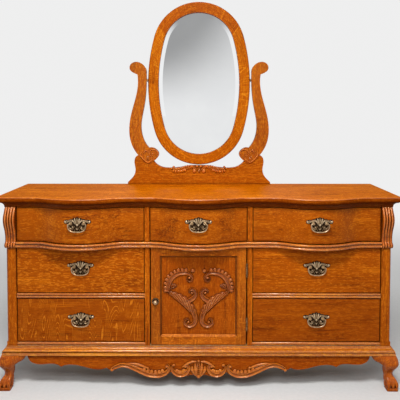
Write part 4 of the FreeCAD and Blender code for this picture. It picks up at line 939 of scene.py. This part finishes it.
def plate_mesh(name, grip, bowed):
    """A pull's plate with its ornament and posts, about the middle between its pins, on the front's face."""
    work = Carving(0.0, PLATE_THICK + PLATE_WORK, base=PLATE_THICK)
    work.ribbon(WING, strap, PLATE_WORK, 1, 8)
    work.ribbon(LOWER_SCROLL, strap, PLATE_WORK, 1, 6)
    work.domes((49.6, 7.4, 4.4, PLATE_WORK + 1), (19, -14.4, 2.6, PLATE_WORK + 0.4))
    work.dome(41.5, 10.6, 2, PLATE_WORK)
    for x, z, half in CREST_PETALS:
        petal = [(0.3 * x, -4, 1.2), (0.8 * x, 0.5 * z, half), (x, z - 2, half), (x * 1.02, z + 1, 0.8)]
        work.ribbon(petal, rounded, PLATE_WORK, 1, 6)
    across, down = LATTICE_RUN
    for x in LATTICE_STARTS:
        rib = [(x + share * across, LATTICE_TOP + share * down, 1.0) for share in (0, 0.5, 1)]
        work.ribbon(rib, rounded, 1.4, 2.5, 4)
    work.ribbon(PLATE_RIM, rounded, 0.9, 1.5, 6)
    post(work, POST_ACROSS, grip)
    work.mirrored()
    work.ribbon([(0, -4, 1.5), (0, 7, 3.8), (0, 17, 4.2), (0, 24.4, 1.4)], leafy(5, 0.8), PLATE_WORK, 0.8, 8)
    work.domes((0, -6, 4.4, PLATE_WORK + 0.6), (0, -22, 3, PLATE_WORK))
    plate_body(work)
    made = work.mesh(name)
    if bowed:
        bend_back(made, BOW_RADIUS * MM, (PLATE_THICK + PLATE_WORK + 0.6) * MM)
    return made


def bend_back(mesh, radius, depth):
    """Bends a plate round a bowed front. What stands out past the depth fades out of the bend."""
    shape = bmesh.new()
    shape.from_mesh(mesh)
    bmesh.ops.triangulate(shape, faces=[face for face in shape.faces if len(face.verts) > 12])
    for x in range(-52, 56, 4):
        everything = shape.verts[:] + shape.edges[:] + shape.faces[:]
        cut = {"plane_co": (x * MM, 0, 0), "plane_no": (1, 0, 0), "dist": 0.02 * MM}
        bmesh.ops.bisect_plane(shape, geom=everything, **cut)
    for vert in shape.verts:
        # the bolts stay straight behind the front's face
        if vert.co.y < 0.5 * MM:
            sag = radius - math.sqrt(radius**2 - vert.co.x**2)
            vert.co.y += sag * held(2.0 + vert.co.y / depth)
    shape.to_mesh(mesh)
    shape.free()


def bail_mesh():
    """The swinging bail, about the line of its pins."""
    work = Carving(0.0, 1.0)
    work.wire(BAIL + [(-x, z, radius) for x, z, radius in BAIL[-2::-1]], 1, 12, 0.75)
    return work.mesh("bail", crease=40)


def pulls(plate_brass, wire_brass):
    """Seven pulls: a plate that rides on its drawer, and a bail on its own pins."""
    bail = bail_mesh()
    plates = {}
    swings = [joint for joint in frame["joints"] if joint["name"].startswith("swing_")]
    pins = {joint["child"]: joint["pos_m"] for joint in swings}
    for name in DRAWERS:
        x, y, z = pins["bail_" + name]
        bowed = name in BOWED
        if bowed not in plates:
            grip = (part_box("pull_plate_" + name)[1].y - y) / MM - POST_STAND - NUT
            plates[bowed] = plate_mesh("pull_bowed" if bowed else "pull_flat", grip, bowed)
        on_drawer = ("drawer_" + name, "antique_brass", "pull_plate_" + name)
        on_pins = ("bail_" + name, "antique_brass", "pull_bail_" + name)
        plate = add_piece("plate_" + name, plates[bowed], plate_brass, *on_drawer)
        plate.location = (x, y + POST_STAND * MM, z)
        swing = add_piece("bail_" + name, bail, wire_brass, *on_pins)
        swing.location = (x, y, z)


KNOB_BEADS = 2.2  # height of the beads' row on the knob's rosette


def knob(made):
    """The door's knob: a turned ball on a beaded rosette, with its bolt through the stile."""
    low, high = in_mm(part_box("door_knob"))
    centre = ((low.x + high.x) / 2, (low.z + high.z) / 2)
    work = Carving(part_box("door_frame")[0].y / MM, 6.0, centre, KNOB_BEADS)
    rosette = [(15, -SUNK), (15, 1.4), (14.2, 2.3), (11.8, 2.5), (10.6, 1.9), (9.4, 2.6), (7.6, 4)]
    work.turned(0, 0, [*rosette, (5.2, 4.8), (1, 4.9)], 40)
    for a, b in circle(13.0, 20):
        work.dome(a, b, 1.4, 1.5, shade=0.8)
    ball = [(4.6, 4), (4.2, 6.5), (4.8, 9), (7.6, 11.2), (9.4, 14.6), (9.2, 18), (7.2, 21.2), (4.4, 23)]
    ball += [(3.6, 22.7), (2.6, 23.4), (0.6, 23.6)]
    work.turned(0, 0, ball, 32, 0.85)
    work.turned(0, 0, [(2, -20), (2, 0)], shade=0.4)
    work.turned(0, 0, [(3, -22.2), (4.6, -21), (4.6, -20 + SUNK)], shade=0.5)
    work.piece("knob", made, "door", "antique_brass", "door_knob")


# ------ corbels and feet


def post_corner():
    """The right front post's side and its outer corner."""
    low, high = in_mm(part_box("front_posts"))
    return high.y - low.y, Vector((high.x, low.y))


# a corbel from its foot up: share of its height, and how far it stands out of the post
CORBEL_SWELL = [
    (0, 8), (0.03, 13), (0.065, 14.5), (0.1, 12), (0.135, 6), (0.2, 3.5), (0.3, 4.5), (0.42, 10),
    (0.54, 19.5), (0.66, 25), (0.76, 23.5), (0.88, 14), (1, 3.5),
]
CORBEL_REEDS = 9
CORBEL_TURN = 12  # how much of the reeds' row goes round the corner
CORBEL_SIDE = 0.28  # share of the swell that shows beside the post


def corbels(made):
    """Reeded brackets that wrap the outer corner of each front post's head."""
    low, high = in_mm(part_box("corbels"))
    tall = high.z - low.z
    side, corner = post_corner()
    count = CORBEL_REEDS * 8
    rings = []
    shades = []
    for rise, _, reach in smooth([(share * tall, 0, reach) for share, reach in CORBEL_SWELL], 1.8):
        inner = [(-SUNK, side), (-SUNK, SUNK), (-side, SUNK)]
        ring = [(corner.x + x, corner.y + y, low.z + rise) for x, y in inner]
        # painted shade: the hollow below the swell, which faces down, is darker
        hollow = max(0.0, 1 - abs(rise / tall - 0.28) / 0.25)
        shade = [0.0] * len(ring)
        for index in range(count + 1):
            run = (2 * side + CORBEL_TURN) * index / count - side
            reed = math.sqrt(wave(CORBEL_REEDS * index / count))
            out = reach * 0.62 + (0.38 * reach + 1.0) * reed - 0.5
            turn = math.radians(90) * held(run / CORBEL_TURN)
            x = corner.x + min(0.0, run) + CORBEL_SIDE * out * math.sin(turn)
            y = corner.y + max(0.0, run - CORBEL_TURN) - out * math.cos(turn)
            ring.append((x, y, low.z + rise))
            shade.append(reed * (1 - 0.5 * hollow))
        rings.append(ring)
        shades.append(shade)
    work = Form()
    work.shell(rings, shades)
    work.mirrored()
    work.piece("reeded_corbels", made, "root", "golden_oak", "corbels", crease=60)


# a front foot from the top down: share of its height, shift outward, half width and squareness
FOOT_STATIONS = [
    (1, 15, 28, 6), (0.93, 18, 30.5, 4.5), (0.84, 20.5, 32, 3.6), (0.75, 22, 32, 3), (0.67, 20.5, 29, 2.7),
    (0.6, 17.5, 25, 2.6), (0.53, 15, 21.5, 2.5), (0.46, 14.5, 19.5, 2.4), (0.4, 16, 19, 2.4),
    (0.31, 15.5, 18.5, 2.4), (0.2, 14, 15.5, 2.4), (0.08, 13, 13, 2.6),
]
FOOT_REACH = 87  # how far the ears run from the case's corner
EAR_THICK = 20
EAR_PROUD = 7
# the ear from its tip in: share of the reach, share of the foot's height, and how far its face swells
FOOT_EAR = [
    (1, 0.985, 0), (0.92, 0.965, 1), (0.865, 0.91, 3), (0.8, 0.85, 5), (0.68, 0.795, 8), (0.53, 0.755, 12),
    (0.42, 0.71, 15), (0.3, 0.64, 16),
]
# where the toes end, from the middle of the pad
TOE_TIPS = ((-15.5, -20.5), (2.5, -20.5), (19, -19), (20.5, -2.5), (20.5, 15.5))
# a toe from the ankle out: share of the way to its tip, level, radius
TOE = [
    (0, 66, 6), (0.22, 58, 6.8), (0.45, 49, 7.3), (0.68, 40.5, 7.9), (0.86, 32, 8.2), (0.97, 24, 7.6),
    (1.02, 17, 5.8), (1.03, 12.5, 4.4),
]
TOE_RUN = 30  # a toe's usual way across, by which its sections are spaced
TOE_LEAN = 0.7  # a toe's section leans back as the toe comes down
INSTEP_SHIFT = 14  # outward along the diagonal, as the pad's
PAD_SHIFT = 26
# the pad from the floor up: level and half width
PAD = [(0, 21.8), (1, 23), (4.6, 23), (5.6, 21.6), (6.6, 21.6), (7.6, 22.8), (12, 22.4), (13.4, 21)]
FOOT_GRAIN = 1.5  # edge of the cells that the foot's parts are run together in


def squared(centre, half, squareness, count, z):
    """A level ring between a circle and a square."""
    ring = []
    for point in circle(1.0, count):
        a, b = (half * math.copysign(abs(value) ** (2 / squareness), value) for value in point)
        ring.append((centre.x + a, centre.y + b, z))
    return ring


def leg(work, tall, middle):
    stations = [(share * tall, *others) for share, *others in FOOT_STATIONS]
    rings = []
    for z, shift, half, squareness in smooth(stations, 4.0):
        rings.append(squared(middle + Vector((shift, -shift)), half, squareness, 40, z))
    work.shell(rings)


def ears(work, tall, corner):
    """The brackets either side of the knee, one along the front and one along the case's side."""
    back = EAR_PROUD - EAR_THICK
    stations = [(reach * FOOT_REACH, share * tall, swell) for reach, share, swell in FOOT_EAR]
    front = []
    side = []
    for reach, z, swell in smooth(stations, 2.5):
        section = []
        for step in range(13):
            angle = math.radians(90) * step / 12
            out = (EAR_THICK + swell) * math.cos(angle) ** 0.45 + back
            section.append((out, tall - (tall - z) * math.sin(angle) ** 0.7))
        section += [(back - 0.1, z), (back - 0.1, tall)]
        front.append([(corner.x - reach, corner.y - out, level) for out, level in section])
        side.append([(corner.x + out, corner.y + reach, level) for out, level in section])
    work.shell(front)
    work.shell(side)


def toes(work, pad):
    """Five toes from the ankle to the pad's edge."""
    instep = Vector((INSTEP_SHIFT - PAD_SHIFT, PAD_SHIFT - INSTEP_SHIFT))
    for tip in map(Vector, TOE_TIPS):
        start = instep + tip * 0.28
        aim = (tip - start).normalized()
        side = Vector((-aim.y, aim.x))
        rings = []
        for run, z, radius in smooth([(share * TOE_RUN, z, radius) for share, z, radius in TOE], 2.0):
            centre = pad + start.lerp(tip, run / TOE_RUN)
            ring = []
            for a, b in circle(radius, 14):
                place = centre + side * a + aim * b * TOE_LEAN
                ring.append((place.x, place.y, z + b * TOE_LEAN))
            rings.append(ring)
        work.shell(rings)


def run_together(mesh, cell):
    """One clean skin round shells that overlap."""
    blank = new_object("blank", mesh)
    remesh = blank.modifiers.new("skin", "REMESH")
    remesh.mode = "VOXEL"
    remesh.voxel_size = cell * MM
    relax = blank.modifiers.new("relax", "SMOOTH")
    relax.factor = 0.5
    relax.iterations = 2
    bpy.context.view_layer.update()
    skin = bpy.data.meshes.new_from_object(blank.evaluated_get(bpy.context.evaluated_depsgraph_get()))
    bpy.data.objects.remove(blank)
    return skin


def feet(made):
    """Cabriole feet with ears, each on a paw of five toes over a moulded pad."""
    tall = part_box("front_feet")[1].z / MM
    side, corner = post_corner()
    middle = corner + Vector((-side / 2, side / 2))
    pad = middle + Vector((PAD_SHIFT, -PAD_SHIFT))
    blank = Form()
    leg(blank, tall, middle)
    ears(blank, tall, corner)
    toes(blank, pad)
    skin = run_together(blank.mesh("foot_blank"), FOOT_GRAIN)
    work = Form()
    for vert in skin.vertices:
        x, y, z = vert.co / MM
        work.points.append(Vector((x, y, min(z, tall))))
    work.faces = [tuple(face.vertices) for face in skin.polygons]
    work.relief = [1.0] * len(work.points)
    bpy.data.meshes.remove(skin)
    work.shell([squared(pad, half, 12, 48, z) for z, half in PAD])
    work.mirrored()
    work.piece("cabriole_feet", made, "root", "golden_oak", "front_feet", crease=40)


# ------ camera, light and stage


def camera():
    """The photograph's view, fitted: a little right of the middle, looking slightly down."""
    data = bpy.data.cameras.new("camera")
    data.sensor_width = 36
    data.lens = 51.585
    data.shift_y = -0.16
    eye = new_object("camera", data)
    eye.location = (0.01310, -2.52793, 1.16681)
    eye.rotation_euler = (math.radians(90 - 2.492), 0, math.radians(0.170))
    bpy.context.scene.camera = eye


# each lamp's place, aim, size and power
LAMPS = {
    "key": ((-0.05, -2, 2.85), (0, -0.1, 0.5), (1, 0.6), 72),
    "front": ((-0.12, -1.7, 1.3), (0, 0, 0.55), (0.7, 0.5), 11.5),
    "left": ((-3.4, -1.6, 2.2), (0, 0, 0.8), (1.6, 2), 6),
    "right": ((3.4, -1.6, 2.2), (0, 0, 0.8), (1.6, 2), 6),
    "back": ((0, 3.2, 2.8), (0, 0, 0.9), (2.4, 1.6), 40),
}


def lights():
    for name, (place, aim, size, power) in LAMPS.items():
        data = bpy.data.lights.new(name, "AREA")
        data.shape = "RECTANGLE"
        data.size, data.size_y = size
        data.energy = power
        lamp = new_object(name, data)
        lamp.location = place
        lamp.rotation_euler = (Vector(aim) - Vector(place)).to_track_quat("-Z", "Y").to_euler()
        # the front lamp shows neither in the mirror nor in the varnish
        lamp.visible_glossy = name != "front"


PALE = 0.86
AMBIENT = 0.2


def sky():
    """A pale backdrop for the eye and for mirrors, and an even fill for everything else."""
    world = bpy.data.worlds.new("studio")
    bpy.context.scene.world = world
    world.use_nodes = True
    tree = Tree(world.node_tree)
    right, back, up = tree.parts(tree.add("TexCoord").outputs["Generated"])
    # darker upwards, and sooner to the left
    lean = tree.between(right, -0.1, 0.1, 1.55, 0.45)
    falling = tree.between(tree.times(up, lean), 0, 0.16, 0.86, 0.36)
    # pale walls to either side, which the glass's bevel picks up
    sides = tree.between(tree.absolute(right), 0.12, 0.2)
    falling = tree.mix(sides, falling, 0.93, kind="FLOAT")
    falling = tree.mix(tree.between(back, -0.2, 0.3), falling, 0.25, kind="FLOAT")
    level = tree.mix(tree.seen("Camera", "Transmission", "Glossy"), AMBIENT, falling, kind="FLOAT")
    level = tree.mix(tree.seen("Camera", "Transmission"), level, PALE, kind="FLOAT")
    tree.add("OutputWorld", tree.add("Background", (1, 1, 1), level))


def floor():
    """A wide pale floor that keeps the shadow near the object and fades into the backdrop."""
    tree = Material("pale_floor")
    place = tree.place()
    away = tree.add("VectorMath", place, operation="LENGTH").outputs["Value"]
    grit = tree.noise(place, (60, 60, 60))
    seen = tree.seen("Camera", "Glossy", "Transmission")
    pale = tree.mix(tree.between(grit, 0.3, 0.7), (0.79, 0.79, 0.78), (0.82, 0.82, 0.81))
    near = tree.add("BsdfDiffuse", tree.mix(seen, (0.3, 0.3, 0.3), pale))
    glow = tree.add("Emission", (1, 1, 1), PALE)
    far = tree.times(tree.between(away, 1.6, 4.5), seen)
    tree.add("OutputMaterial", tree.add("MixShader", far, near, glow))
    mesh = bpy.data.meshes.new("floor")
    corners = [(-30, -30, 0), (30, -30, 0), (30, 30, 0), (-30, 30, 0)]
    mesh.from_pydata(corners, [], [(0, 1, 2, 3)])
    mesh.materials.append(tree.made)
    new_object("floor", mesh)


# ------ the whole

SOFT_BOARDS = "side_frames rear_posts bay_stiles front_posts drawer_rails base_moulding apron"
SOFT_BOARDS += " door_frame mirror_uprights mirror_base mirror_frame"
CARVED = {"relief": 0.9, "gloss": 0.7, "polish": 0.65, "sheen": VARNISH_SHEEN}
REEDED = {"relief": 0.85, "gloss": 0.6, "polish": 0.6, "sheen": VARNISH_SHEEN}
FOOTED = {"gloss": 0.4, "polish": 0.5, "sheen": VARNISH_SHEEN}

dress_nodes()
soften(SOFT_BOARDS, 1.2)
soften(" ".join("drawer_front_" + name for name in DRAWERS if name not in BOWED), 1.5)
for name in BOWED:
    bowed_front(name)
carved = oak("oak_carved", "X", (0.2, 0.5, 0.1), (1.32, 1.45, 1.3), **CARVED)
door_carvings(oak("oak_carved_door", "X", (0.2, 0.5, 0.1), (0.86, 0.8, 0.85), **CARVED))
apron_carving(carved)
mirror_base_carving(carved)
upright_carving(carved)
corbels(oak("oak_reeds", "Z", (0.6, 0.5, 0.1), (1.12, 1.08, 0.7), **REEDED))
feet(oak("oak_feet", "Z", (0.3, 0.9, 0.4), (1.15, 1.05, 0.7), **FOOTED))
plate_brass = antique_brass("antique_brass_cast", relief=True)
pulls(plate_brass, antique_brass("antique_brass_wire", rubbed=0.2))
knob(plate_brass)
camera()
lights()
sky()
floor()
bpy.context.scene.view_settings.view_transform = "Standard"
